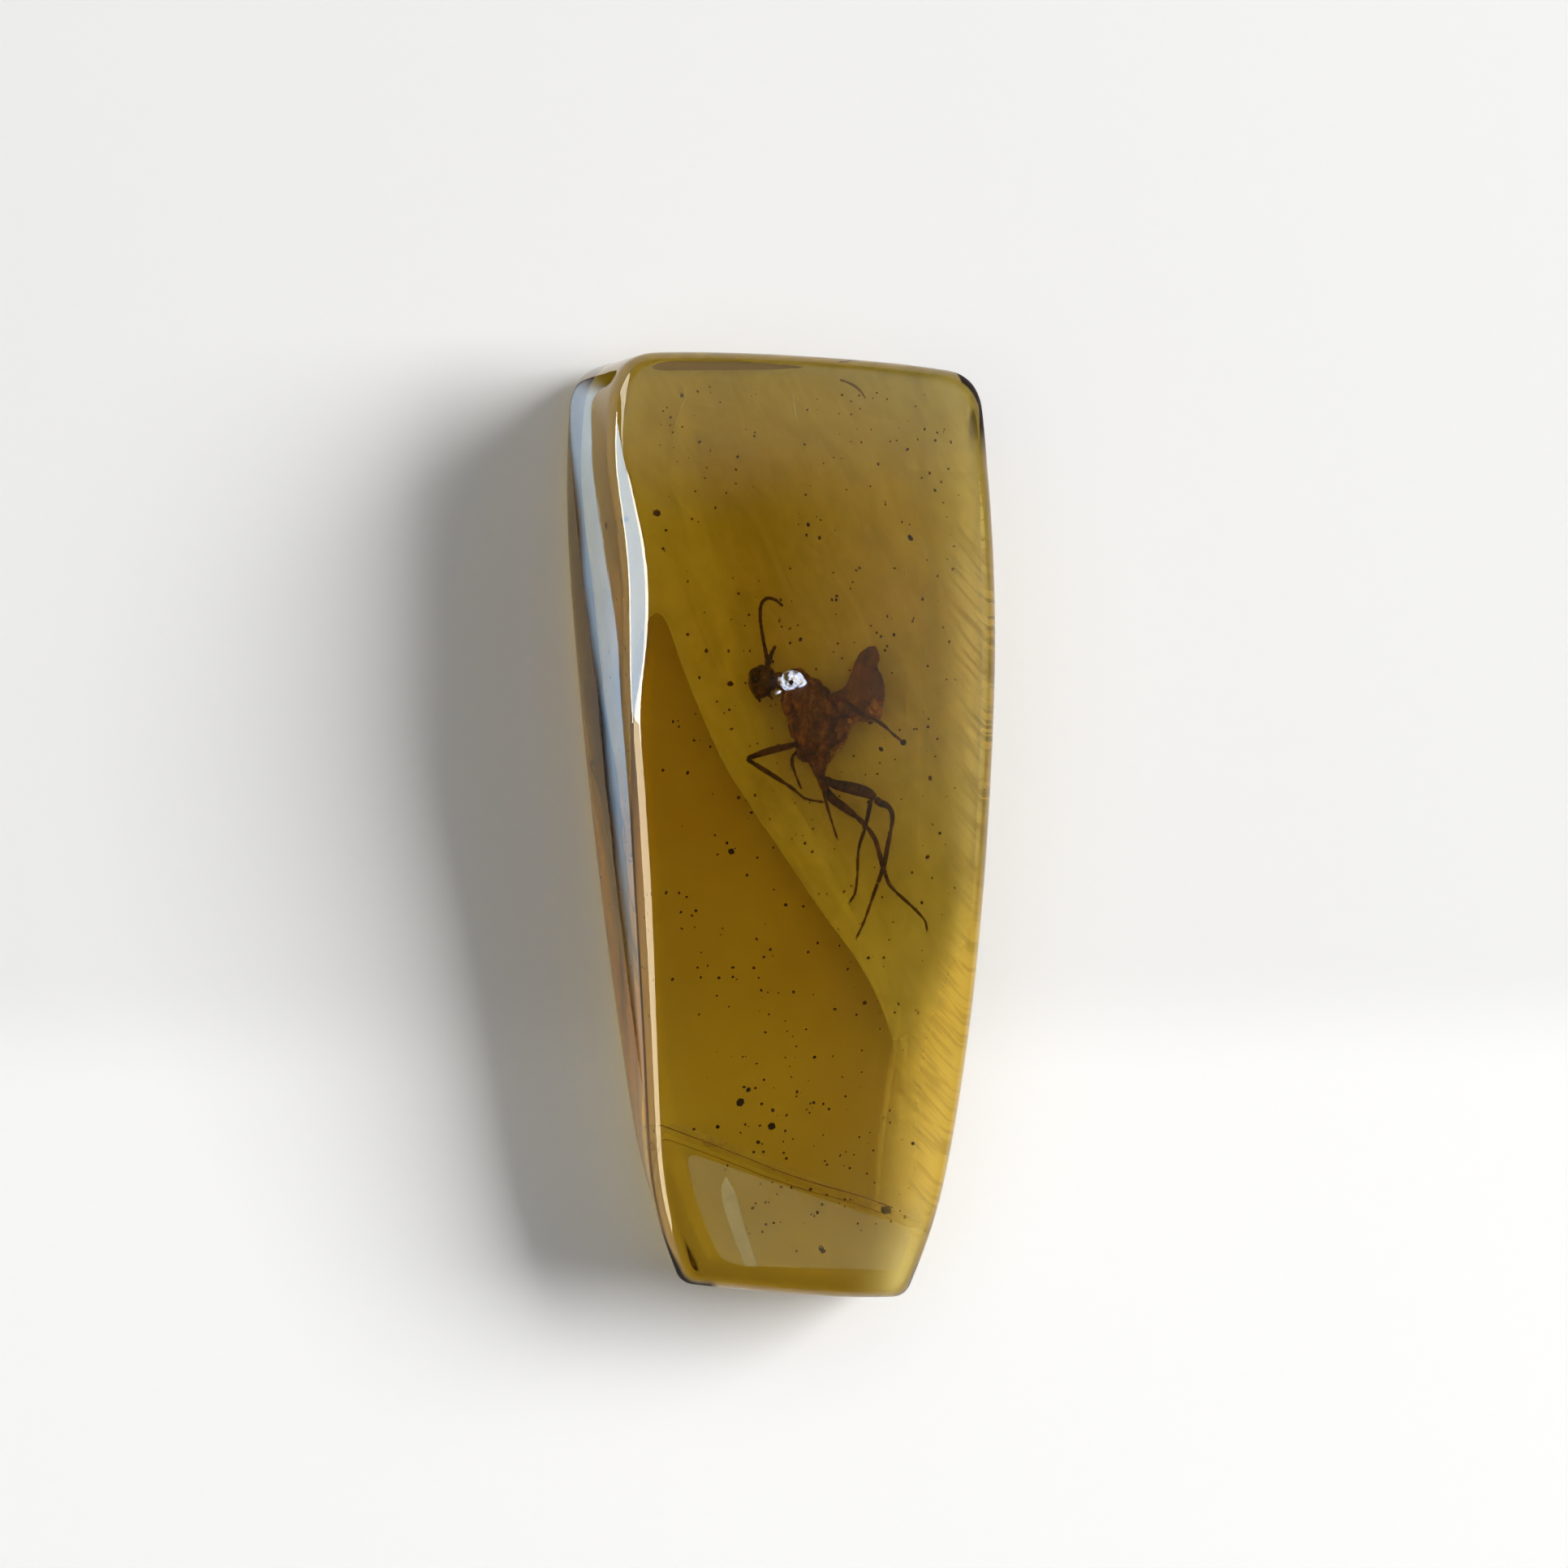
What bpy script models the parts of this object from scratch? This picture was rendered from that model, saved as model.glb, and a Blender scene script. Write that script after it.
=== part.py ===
"""Insect in amber: a polished, tapered tablet of fossil resin with a wasp-like insect sealed in it.

Frame: metres, +Z up. The tablet lies on its flat back, which is the plane Z = 0. Its length runs
along Y with the wide end at +Y, and the origin is the middle of its plan at the back.
All dimensions below are in millimetres and are turned into metres where a mesh is built.

The resin is one solid. It is parted at one level through the insect, because a sealed hollow
can't be a single closed body: the back half lies below the parting and the front half above it.
"""

import math

import bmesh
import bpy
from mathutils import Matrix, Vector

MM = 0.001

# ---------------------------------------------------------------- tablet, plan view
# Points (x, y) that the four sides pass through; the first and last of each are its corners.
CORNER_WIDE_LEFT = (-5.95, 13.87)
CORNER_WIDE_RIGHT = (5.85, 13.55)
CORNER_NARROW_LEFT = (-2.55, -13.30)
CORNER_NARROW_RIGHT = (3.75, -13.97)
LEFT_SIDE = (CORNER_WIDE_LEFT, (-6.09, 10.30), (-5.97, 7.40), (-5.57, 2.90), (-5.03, -1.95),
             (-4.36, -6.85), (-3.68, -10.60), CORNER_NARROW_LEFT)
NARROW_END = (CORNER_NARROW_LEFT, (-0.30, -13.63), (2.00, -13.90), CORNER_NARROW_RIGHT)
RIGHT_SIDE = (CORNER_NARROW_RIGHT, (4.60, -11.90), (5.17, -9.20), (5.72, -4.50), (5.97, 1.50),
              (5.99, 8.00), CORNER_WIDE_RIGHT)
WIDE_END = (CORNER_WIDE_RIGHT, (3.00, 13.80), (-1.90, 13.95), CORNER_WIDE_LEFT)
SIDE_STEPS = 15                    # spans along a long side
END_STEPS = 6                      # spans along an end
CORNER_STEPS = 5                   # spans around a rounded corner
CORNER_CUTS = (0.35, 0.42, 1.15, 1.45)    # how far from its corner each rounding begins

# ---------------------------------------------------------------- tablet, thickness
# Height of the polished front along the length: (y, height on the centre line).
FRONT_HEIGHTS = ((-13.80, 3.95), (-9.20, 4.40), (-4.30, 5.05), (0.50, 5.80), (5.50, 6.35),
                 (9.00, 6.05), (14.00, 4.90))
FRONT_TILT = 0.115                 # the front falls this much for each millimetre towards +X
FRONT_DOME = 0.25                  # the front bulges this much in the middle of its width
DOME_HALF_WIDTH = 5.5

# ---------------------------------------------------------------- tablet, edge profiles
# From the flat back up to the girdle: (inset from the plan outline, height).
BELLY = ((0.72, 0.00), (0.38, 0.10), (0.13, 0.35), (0.00, 0.85))
# From the wall up to the front: (inset beyond the wall's own lean, depth below the front).
LEFT_RIM = ((-0.04, 0.80), (0.02, 0.42), (0.15, 0.13), (0.48, 0.00))
PLAIN_RIM = ((-0.04, 0.55), (0.02, 0.30), (0.12, 0.09), (0.36, 0.00))
# How far the left wall leans in between girdle and rim: (y, lean).
LEFT_LEAN = ((-13.80, -0.72), (-11.50, -0.58), (-8.50, -0.24), (-5.50, 0.00), (-3.10, 0.13),
             (-0.70, 0.21), (1.70, 0.27), (4.20, 0.26), (6.30, 0.52), (7.80, 0.59),
             (9.20, 0.48), (11.20, 0.22), (12.40, 0.36), (13.20, 0.48))
PLAIN_LEAN = 0.02                  # the same for the right wall and both ends
CROWN_SCALES = (0.80, 0.55, 0.28)  # inner rings of the front, as shares of the rim ring
SPINE_MARGIN = 5.0                 # the crown's rings shrink to a line this short of each end

# ---------------------------------------------------------------- facets ground on the back
# Each takes off the back's right edge: (plan point on the facet's inner edge, heading of that
# edge in degrees anticlockwise from +Y, rise of the facet outwards in degrees).
BACK_FACETS = {
    "wide_facet": ((4.75, 5.00), 3.0, 32.0),
    "narrow_facet": ((3.25, -9.30), -16.0, 24.0),
}
FACET_BOX = (8.0, 40.0, 6.0)       # size of the box that cuts a facet

# ---------------------------------------------------------------- parting and pocket
PARTING_LEVEL = 2.40
PARTING_GAP = 0.30
POCKET_GAP = 0.30                  # between the insect and the wall of its pocket
CUTTER_MARGIN = 3.0                # how far the parting boxes reach past the tablet

# ---------------------------------------------------------------- insect
# Every place is (x, y, height above the parting level, radius). A limb is a chain of such
# places; a leg that folds sharply is two chains that meet at the knee.
THORAX = ((-0.34, 4.52, 0.05, 0.16), (-0.12, 4.47, 0.05, 0.38), (0.22, 4.30, 0.08, 0.62),
          (0.52, 3.95, 0.08, 0.80), (0.70, 3.50, 0.08, 0.82), (0.74, 3.05, 0.05, 0.68),
          (0.74, 2.62, 0.02, 0.48), (0.78, 2.15, 0.00, 0.31), (0.86, 1.78, 0.00, 0.17),
          (0.93, 1.45, 0.00, 0.13))
FOLDED_WING = ((1.00, 3.80, 0.05, 0.45), (1.55, 3.95, 0.05, 0.42), (1.85, 4.35, 0.06, 0.38),
               (2.05, 4.80, 0.08, 0.35), (2.25, 5.15, 0.10, 0.25), (2.38, 5.42, 0.10, 0.10))
NECK = ((-0.75, 4.49, 0.00, 0.24), (0.00, 4.48, 0.05, 0.30))
LIMBS = {
    "antenna_long": ((-0.80, 4.75, 0.05, 0.07), (-0.81, 5.10, 0.10, 0.06),
                     (-0.91, 5.57, 0.14, 0.05), (-0.99, 6.06, 0.16, 0.05),
                     (-1.00, 6.42, 0.16, 0.05), (-0.93, 6.63, 0.16, 0.05),
                     (-0.79, 6.73, 0.15, 0.05), (-0.57, 6.69, 0.13, 0.05),
                     (-0.32, 6.52, 0.10, 0.04)),
    "antenna_short": ((-0.78, 4.80, -0.05, 0.07), (-0.66, 5.20, -0.12, 0.06),
                      (-0.52, 5.46, -0.16, 0.05)),
    "mouthparts": ((-0.80, 4.30, 0.00, 0.14), (-0.62, 3.98, 0.00, 0.07)),
    "spine": ((1.55, 3.85, 0.12, 0.12), (2.06, 3.55, 0.12, 0.09), (2.60, 3.30, 0.10, 0.08),
              (2.98, 3.00, 0.08, 0.06), (3.32, 2.73, 0.05, 0.05)),
    "fore_femur": ((0.50, 2.85, 0.10, 0.12), (-0.04, 2.66, 0.12, 0.10),
                   (-0.70, 2.50, 0.12, 0.10), (-1.36, 2.28, 0.10, 0.07)),
    "fore_tibia": ((-1.38, 2.27, 0.10, 0.06), (-0.76, 1.89, 0.06, 0.07),
                   (-0.02, 1.42, 0.02, 0.06), (0.40, 1.10, 0.00, 0.05),
                   (0.94, 0.99, -0.02, 0.05)),
    "middle_femur": ((0.45, 2.60, -0.08, 0.09), (0.02, 2.38, -0.10, 0.06),
                     (0.00, 2.12, -0.10, 0.05), (0.12, 1.76, -0.08, 0.05),
                     (0.29, 1.37, -0.06, 0.04)),
    "middle_tibia": ((0.90, 1.70, 0.00, 0.09), (1.02, 1.02, 0.04, 0.06),
                     (1.13, 0.62, 0.06, 0.05), (1.37, -0.08, 0.06, 0.04)),
    "hind_femur": ((0.93, 1.66, 0.05, 0.11), (1.30, 1.50, 0.08, 0.13),
                   (1.90, 1.36, 0.10, 0.17), (2.30, 1.23, 0.10, 0.15),
                   (2.52, 1.08, 0.10, 0.10)),
    "hind_knee": ((2.50, 1.08, 0.10, 0.10), (2.62, 0.96, 0.10, 0.11),
                  (2.88, 0.86, 0.10, 0.11), (3.04, 0.62, 0.08, 0.08),
                  (3.02, 0.30, 0.06, 0.07), (2.90, -0.39, 0.04, 0.07),
                  (2.80, -0.95, 0.02, 0.07), (2.64, -1.43, 0.00, 0.06)),
    "hind_tarsus": ((2.64, -1.40, 0.00, 0.06), (2.41, -2.08, 0.00, 0.05),
                    (2.22, -2.64, 0.00, 0.05), (2.03, -3.05, 0.02, 0.04)),
    "other_hind_femur": ((0.93, 1.50, -0.08, 0.11), (1.20, 1.12, -0.10, 0.13),
                         (1.60, 0.82, -0.10, 0.12), (2.00, 0.52, -0.10, 0.09),
                         (2.30, 0.22, -0.10, 0.08), (2.54, -0.14, -0.08, 0.07),
                         (2.68, -0.58, -0.06, 0.07), (2.86, -1.16, -0.06, 0.07)),
    "other_hind_tarsus": ((2.85, -1.12, -0.06, 0.06), (3.02, -1.50, -0.08, 0.05),
                          (3.76, -2.18, -0.12, 0.05), (4.14, -2.58, -0.14, 0.04),
                          (4.21, -2.87, -0.14, 0.04)),
    "trailing_leg": ((2.40, 1.10, -0.05, 0.07), (2.23, 0.22, -0.10, 0.06),
                     (2.05, -0.40, -0.12, 0.05), (2.02, -1.22, -0.12, 0.05),
                     (1.96, -1.72, -0.10, 0.05), (1.81, -1.97, -0.10, 0.04)),
}
INSECT_SIDES = (6, 2)              # bevel resolution of the body and of a limb
POCKET_SIDES = (4, 1)
BEND_ROOM = 0.45                   # share of a limb's stretch that one of its bends may take up
# Thin wing membranes: height above the parting level, then the corners of the plan outline.
MEMBRANE_THICKNESS = 0.12
MEMBRANES = {
    "upper_membrane": (0.06, ((1.40, 4.05), (2.48, 4.85), (2.66, 4.50), (2.74, 4.10),
                              (2.66, 3.50), (2.40, 3.36), (1.70, 3.60))),
    "lower_membrane": (-0.05, ((1.10, 3.30), (1.85, 3.42), (1.70, 3.10), (1.58, 2.72),
                               (1.48, 2.56), (1.36, 2.62), (1.18, 2.30), (0.95, 2.30))),
}
# Round pieces: (centre x, y, height above the parting level), (semi-axes).
ELLIPSOIDS = {
    "head": ((-0.90, 4.48, 0.02), (0.46, 0.47, 0.42)),
    "eye_left": ((-1.10, 4.58, 0.28), (0.20, 0.25, 0.20)),
    "eye_right": ((-1.10, 4.58, -0.24), (0.20, 0.25, 0.20)),
    "spine_tip": ((3.33, 2.73, 0.05), (0.10, 0.09, 0.09)),
}
SPHERE_SEGMENTS = 16
SPHERE_RINGS = 10


def clear_scene():
    """Remove every object of the file that is open."""
    for thing in list(bpy.data.objects):
        bpy.data.objects.remove(thing, do_unlink=True)


def make_collection(name):
    """A new collection linked under the scene."""
    collection = bpy.data.collections.new(name)
    bpy.context.scene.collection.children.link(collection)
    return collection


def link_mesh(name, bm, collection):
    """Turn a bmesh into an object with outward normals."""
    bmesh.ops.recalc_face_normals(bm, faces=bm.faces)
    mesh = bpy.data.meshes.new(name)
    bm.to_mesh(mesh)
    bm.free()
    thing = bpy.data.objects.new(name, mesh)
    collection.objects.link(thing)
    return thing


def make_guide(thing):
    """Keep a cutter or a guide out of the part itself."""
    thing.hide_render = True
    thing.display_type = "WIRE"
    return thing


def make_material(name, color, roughness, transmission=0.0, ior=1.5):
    """A Principled material."""
    material = bpy.data.materials.new(name)
    material.use_nodes = True
    shader = material.node_tree.nodes["Principled BSDF"]
    shader.inputs["Base Color"].default_value = (*color, 1.0)
    shader.inputs["Roughness"].default_value = roughness
    shader.inputs["Metallic"].default_value = 0.0
    shader.inputs["Transmission Weight"].default_value = transmission
    shader.inputs["IOR"].default_value = ior
    return material


# ---------------------------------------------------------------- curves by formula
def smooth_value(table, at):
    """Read a smooth curve through (position, value) pairs, held level past its ends."""
    if at <= table[0][0]:
        return table[0][1]
    if at >= table[-1][0]:
        return table[-1][1]
    slopes = []
    for i in range(len(table)):
        before = table[max(i - 1, 0)]
        after = table[min(i + 1, len(table) - 1)]
        slopes.append((after[1] - before[1]) / (after[0] - before[0]))
    i = max(k for k in range(len(table) - 1) if table[k][0] <= at)
    span = table[i + 1][0] - table[i][0]
    t = (at - table[i][0]) / span
    rise = (3 - 2 * t) * t * t
    lead_out = t * (1 - t) ** 2 * span * slopes[i]
    lead_in = t * t * (1 - t) * span * slopes[i + 1]
    return table[i][1] * (1 - rise) + table[i + 1][1] * rise + lead_out - lead_in


def smooth_path(points):
    """A smooth path through plan points, as a function of the share of its length."""
    lengths = [0.0]
    for start, end in zip(points, points[1:]):
        lengths.append(lengths[-1] + math.dist(start, end))
    total = lengths[-1]
    along_x = [(length / total, point[0]) for length, point in zip(lengths, points)]
    along_y = [(length / total, point[1]) for length, point in zip(lengths, points)]

    def place(share):
        return Vector((smooth_value(along_x, share), smooth_value(along_y, share)))

    return place, total


def plan_outline():
    """The tablet's plan outline, anticlockwise from the wide end's left corner."""
    sides = [(LEFT_SIDE, SIDE_STEPS), (NARROW_END, END_STEPS),
             (RIGHT_SIDE, SIDE_STEPS), (WIDE_END, END_STEPS)]
    paths = [smooth_path(points) for points, _ in sides]
    outline = []
    for index, (points, steps) in enumerate(sides):
        place, total = paths[index]
        first = CORNER_CUTS[index - 1] / total
        last = 1.0 - CORNER_CUTS[index] / total
        for step in range(steps + 1):
            outline.append(place(first + (last - first) * step / steps))
        corner = Vector(points[-1])
        next_place, next_total = paths[(index + 1) % len(sides)]
        start = outline[-1]
        end = next_place(CORNER_CUTS[index] / next_total)
        for step in range(1, CORNER_STEPS):
            t = step / CORNER_STEPS
            outline.append((1 - t) ** 2 * start + 2 * t * (1 - t) * corner + t * t * end)
    return outline


def side_position(points, y):
    """Where a long side runs, as x at a given y."""
    return smooth_value(sorted((point[1], point[0]) for point in points), y)


def leftness(outline):
    """How much each outline point belongs to the left side: 1 on it and 0 off it."""
    count = len(outline)
    shares = []
    for i in range(count):
        along = outline[(i + 1) % count] - outline[i - 1]
        shares.append(max(0.0, -along.y / along.length) ** 2)
    return shares


def front_height(x, y):
    """Height of the polished front over a plan point."""
    dome = FRONT_DOME * (1 - (x / DOME_HALF_WIDTH) ** 2)
    return smooth_value(FRONT_HEIGHTS, y) - FRONT_TILT * x + dome


# ---------------------------------------------------------------- the tablet
def inset_point(point, left, plain):
    """Move an outline point inwards, so that corners keep their shape."""
    low = CORNER_NARROW_RIGHT[1]
    high = WIDE_END[2][1]
    left_x = side_position(LEFT_SIDE, point.y)
    right_x = side_position(RIGHT_SIDE, point.y)
    across = min(max((point.x - left_x) / (right_x - left_x), 0.0), 1.0)
    along = min(max((point.y - low) / (high - low), 0.0), 1.0)
    x = point.x + left * (1 - across) - plain * across
    y = point.y + plain * (1 - 2 * along)
    return x, y


def edge_rings(outline):
    """Rings of the tablet's wall, from the flat back up to the front's rim."""
    rings = []
    for inset, height in BELLY:
        ring = []
        for point in outline:
            x, y = inset_point(point, inset, inset)
            ring.append(Vector((x, y, height)))
        rings.append(ring)
    shares = leftness(outline)
    for (left_inset, left_depth), (plain_inset, plain_depth) in zip(LEFT_RIM, PLAIN_RIM):
        ring = []
        for point, share in zip(outline, shares):
            lean = smooth_value(LEFT_LEAN, point.y)
            x, y = inset_point(point, lean + left_inset, PLAIN_LEAN + plain_inset)
            depth = share * left_depth + (1 - share) * plain_depth
            ring.append(Vector((x, y, front_height(x, y) - depth)))
        rings.append(ring)
    return rings


def crown_rings(rim):
    """Inner rings of the front, each shrunk from the rim towards the centre line."""
    low = min(point.y for point in rim) + SPINE_MARGIN
    high = max(point.y for point in rim) - SPINE_MARGIN
    rings = []
    for scale in CROWN_SCALES:
        ring = []
        for point in rim:
            spine_y = min(max(point.y, low), high)
            x = point.x * scale
            y = spine_y + (point.y - spine_y) * scale
            ring.append(Vector((x, y, front_height(x, y))))
        rings.append(ring)
    return rings


def make_tablet(collection):
    """The whole resin solid: lofted through its rings, with its back's right edge ground off."""
    rings = edge_rings(plan_outline())
    rings += crown_rings(rings[-1])
    bm = bmesh.new()
    loops = [[bm.verts.new(point * MM) for point in ring] for ring in rings]
    for lower, upper in zip(loops, loops[1:]):
        for i in range(len(lower)):
            bm.faces.new((lower[i - 1], lower[i], upper[i], upper[i - 1]))
    bm.faces.new(list(reversed(loops[0])))
    top = bm.faces.new(loops[-1])
    bmesh.ops.triangulate(bm, faces=[top])
    tablet = make_guide(link_mesh("tablet", bm, collection))
    for name in BACK_FACETS:
        add_boolean(tablet, "DIFFERENCE", make_facet_box(name, collection))
    ground = bpy.data.objects.new("ground_tablet", baked_mesh(tablet))
    collection.objects.link(ground)
    return make_guide(ground)


def make_facet_box(name, collection):
    """A box whose upper face is the plane of one facet on the back."""
    (x, y), heading, rise = BACK_FACETS[name]
    bm = bmesh.new()
    bmesh.ops.create_cube(bm, size=1.0)
    bmesh.ops.scale(bm, verts=bm.verts, vec=FACET_BOX)
    inner_top = Vector((FACET_BOX[0] / 2, 0.0, -FACET_BOX[2] / 2))
    bmesh.ops.translate(bm, verts=bm.verts, vec=inner_top)
    slope = Matrix.Rotation(math.radians(-rise), 4, "Y")
    turn = Matrix.Rotation(math.radians(heading), 4, "Z")
    place = Matrix.Translation((x, y, 0.0))
    bmesh.ops.transform(bm, verts=bm.verts, matrix=Matrix.Scale(MM, 4) @ place @ turn @ slope)
    return make_guide(link_mesh(name, bm, collection))


# ---------------------------------------------------------------- insect and pocket
def folds_at(before, here, after, grow):
    """Whether a tube of the grown radius would run into itself at a bend."""
    into = Vector(here[:3]) - Vector(before[:3])
    out = Vector(after[:3]) - Vector(here[:3])
    taken_up = (here[3] + grow) * math.tan(into.angle(out) / 2)
    return taken_up > BEND_ROOM * min(into.length, out.length)


def limb_runs(places, grow):
    """Cut a limb into runs that a tube can follow, each reaching past its ends by the growth."""
    runs = [[places[0]]]
    for before, here, after in zip(places, places[1:], places[2:]):
        runs[-1].append(here)
        if folds_at(before, here, after, grow):
            runs.append([here])
    runs[-1].append(places[-1])
    return [reach_past_ends(run, grow) for run in runs]


def reach_past_ends(run, grow):
    """Move a run's end places outwards along its ends."""
    moved = list(run)
    for end, inner in ((0, 1), (-1, -2)):
        place = Vector(run[end][:3])
        outwards = (place - Vector(run[inner][:3])).normalized()
        moved[end] = (*(place + outwards * grow), run[end][3])
    return moved


def make_limb(name, places, sides, grow, collection):
    """A tapering limb through its places, as one tube or, where it bends sharply, several."""
    return [make_tube(f"{name}_{number}", run, sides, grow, collection)
            for number, run in enumerate(limb_runs(places, grow))]


def make_tube(name, places, sides, grow, collection):
    """A tube through its places, with every radius grown by the same amount."""
    curve = bpy.data.curves.new(name, "CURVE")
    curve.dimensions = "3D"
    curve.bevel_depth = MM
    curve.bevel_resolution = sides
    curve.use_fill_caps = True
    spline = curve.splines.new("POLY")
    spline.points.add(len(places) - 1)
    for point, (x, y, z, radius) in zip(spline.points, places):
        point.co = (x * MM, y * MM, (PARTING_LEVEL + z) * MM, 1.0)
        point.radius = radius + grow
    guide = bpy.data.objects.new(name, curve)
    collection.objects.link(guide)
    return curve_to_mesh(guide, collection)


def curve_to_mesh(guide, collection):
    """Replace a curve object by a closed mesh of the same shape."""
    depsgraph = bpy.context.evaluated_depsgraph_get()
    mesh = bpy.data.meshes.new_from_object(guide.evaluated_get(depsgraph))
    bm = bmesh.new()
    bm.from_mesh(mesh)
    bmesh.ops.remove_doubles(bm, verts=bm.verts, dist=1e-7)
    bmesh.ops.transform(bm, verts=bm.verts, matrix=guide.matrix_world)
    name = guide.name
    bpy.data.objects.remove(guide, do_unlink=True)
    bpy.data.meshes.remove(mesh)
    return make_guide(link_mesh(name, bm, collection))


def make_membrane(name, level, corners, grow, collection):
    """A thin flat plate of wing, grown all round by the same amount."""
    curve = bpy.data.curves.new(name, "CURVE")
    curve.dimensions = "2D"
    curve.fill_mode = "BOTH"
    curve.extrude = MEMBRANE_THICKNESS / 2 * MM
    curve.bevel_depth = grow * MM
    curve.bevel_resolution = 0
    spline = curve.splines.new("POLY")
    spline.points.add(len(corners) - 1)
    for point, (x, y) in zip(spline.points, corners):
        point.co = (x * MM, y * MM, 0.0, 1.0)
    spline.use_cyclic_u = True
    guide = bpy.data.objects.new(name, curve)
    guide.location.z = (PARTING_LEVEL + level) * MM
    collection.objects.link(guide)
    return curve_to_mesh(guide, collection)


def make_ellipsoid(name, centre, axes, grow, collection):
    """A round piece of the body."""
    bm = bmesh.new()
    bmesh.ops.create_uvsphere(bm, u_segments=SPHERE_SEGMENTS, v_segments=SPHERE_RINGS, radius=1.0)
    bmesh.ops.scale(bm, verts=bm.verts, vec=[(axis + grow) * MM for axis in axes])
    x, y, z = centre
    bmesh.ops.translate(bm, verts=bm.verts, vec=(x * MM, y * MM, (PARTING_LEVEL + z) * MM))
    return make_guide(link_mesh(name, bm, collection))


def insect_shapes(prefix, sides, grow, collection):
    """Every piece of the insect, grown by the same amount."""
    body_sides, limb_sides = sides
    shapes = make_limb(prefix + "thorax", THORAX, body_sides, grow, collection)
    shapes += make_limb(prefix + "folded_wing", FOLDED_WING, body_sides, grow, collection)
    shapes += make_limb(prefix + "neck", NECK, body_sides, grow, collection)
    for name, places in LIMBS.items():
        shapes += make_limb(prefix + name, places, limb_sides, grow, collection)
    for name, (level, corners) in MEMBRANES.items():
        shapes.append(make_membrane(prefix + name, level, corners, grow, collection))
    for name, (centre, axes) in ELLIPSOIDS.items():
        shapes.append(make_ellipsoid(prefix + name, centre, axes, grow, collection))
    return shapes


def add_boolean(thing, operation, other):
    """A Boolean modifier with the exact solver."""
    modifier = thing.modifiers.new(operation.title(), "BOOLEAN")
    modifier.operation = operation
    modifier.solver = "EXACT"
    modifier.use_self = True
    modifier.object = other


def join_shapes(name, shapes, collection):
    """One closed body from overlapping shapes."""
    body = bpy.data.objects.new(name, shapes[0].data.copy())
    collection.objects.link(body)
    for shape in shapes[1:]:
        add_boolean(body, "UNION", shape)
    return body


def make_slab(name, low, high, collection):
    """A box over the whole plan, between two levels."""
    half_width = max(point[0] for point in RIGHT_SIDE) + CUTTER_MARGIN
    half_length = max(point[1] for point in WIDE_END) + CUTTER_MARGIN
    bm = bmesh.new()
    bmesh.ops.create_cube(bm, size=2.0)
    size = (half_width * MM, half_length * MM, (high - low) / 2 * MM)
    bmesh.ops.scale(bm, verts=bm.verts, vec=size)
    bmesh.ops.translate(bm, verts=bm.verts, vec=(0, 0, (high + low) / 2 * MM))
    return make_guide(link_mesh(name, bm, collection))


def baked_mesh(thing):
    """A triangulated mesh of an object as its modifiers leave it."""
    depsgraph = bpy.context.evaluated_depsgraph_get()
    mesh = bpy.data.meshes.new_from_object(thing.evaluated_get(depsgraph))
    bm = bmesh.new()
    bm.from_mesh(mesh)
    bmesh.ops.triangulate(bm, faces=bm.faces)
    bm.to_mesh(mesh)
    bm.free()
    return mesh


def make_half(name, tablet, removed, pocket, material, collection):
    """One half of the resin, with its share of the pocket."""
    half = bpy.data.objects.new(name, tablet.data.copy())
    collection.objects.link(half)
    half.data.materials.append(material)
    add_boolean(half, "DIFFERENCE", removed)
    add_boolean(half, "DIFFERENCE", pocket)
    half.data.shade_smooth()
    half.data.set_sharp_from_angle(angle=math.radians(40))
    return half


def main():
    """Build the three pieces."""
    clear_scene()
    part = make_collection("insect_in_amber")
    cutters = make_collection("cutters")
    amber = make_material("amber", (0.55, 0.27, 0.03), 0.05, transmission=1.0, ior=1.54)
    chitin = make_material("insect", (0.07, 0.022, 0.008), 0.45)

    shapes = insect_shapes("insect_", INSECT_SIDES, 0.0, cutters)
    insect = join_shapes("insect", shapes, part)
    insect.data.materials.append(chitin)
    shapes = insect_shapes("pocket_", POCKET_SIDES, POCKET_GAP, cutters)
    pocket = make_guide(join_shapes("pocket", shapes, cutters))

    tablet = make_tablet(cutters)
    top = max(height for _, height in FRONT_HEIGHTS) + CUTTER_MARGIN
    above = make_slab("above_parting", PARTING_LEVEL - PARTING_GAP / 2, top, cutters)
    below = make_slab("below_parting", -CUTTER_MARGIN, PARTING_LEVEL + PARTING_GAP / 2, cutters)
    make_half("amber_back_half", tablet, above, pocket, amber, part)
    make_half("amber_front_half", tablet, below, pocket, amber, part)


main()
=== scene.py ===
"""Insect in amber: a polished, tapered tablet of fossil resin with a wasp-like insect sealed in it.

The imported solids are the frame. One clear piece stands for the two halves of the resin, and the
insect is modelled again in finer pieces. Every place and size below is in millimetres in the
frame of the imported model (+Z up, the length along Y, the wide end at +Y); a piece is modelled at
that size and brought to metres when it is handed over.
"""

import logging
import math
import random
from collections.abc import Callable, Sequence
from dataclasses import dataclass
from enum import Enum

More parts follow.
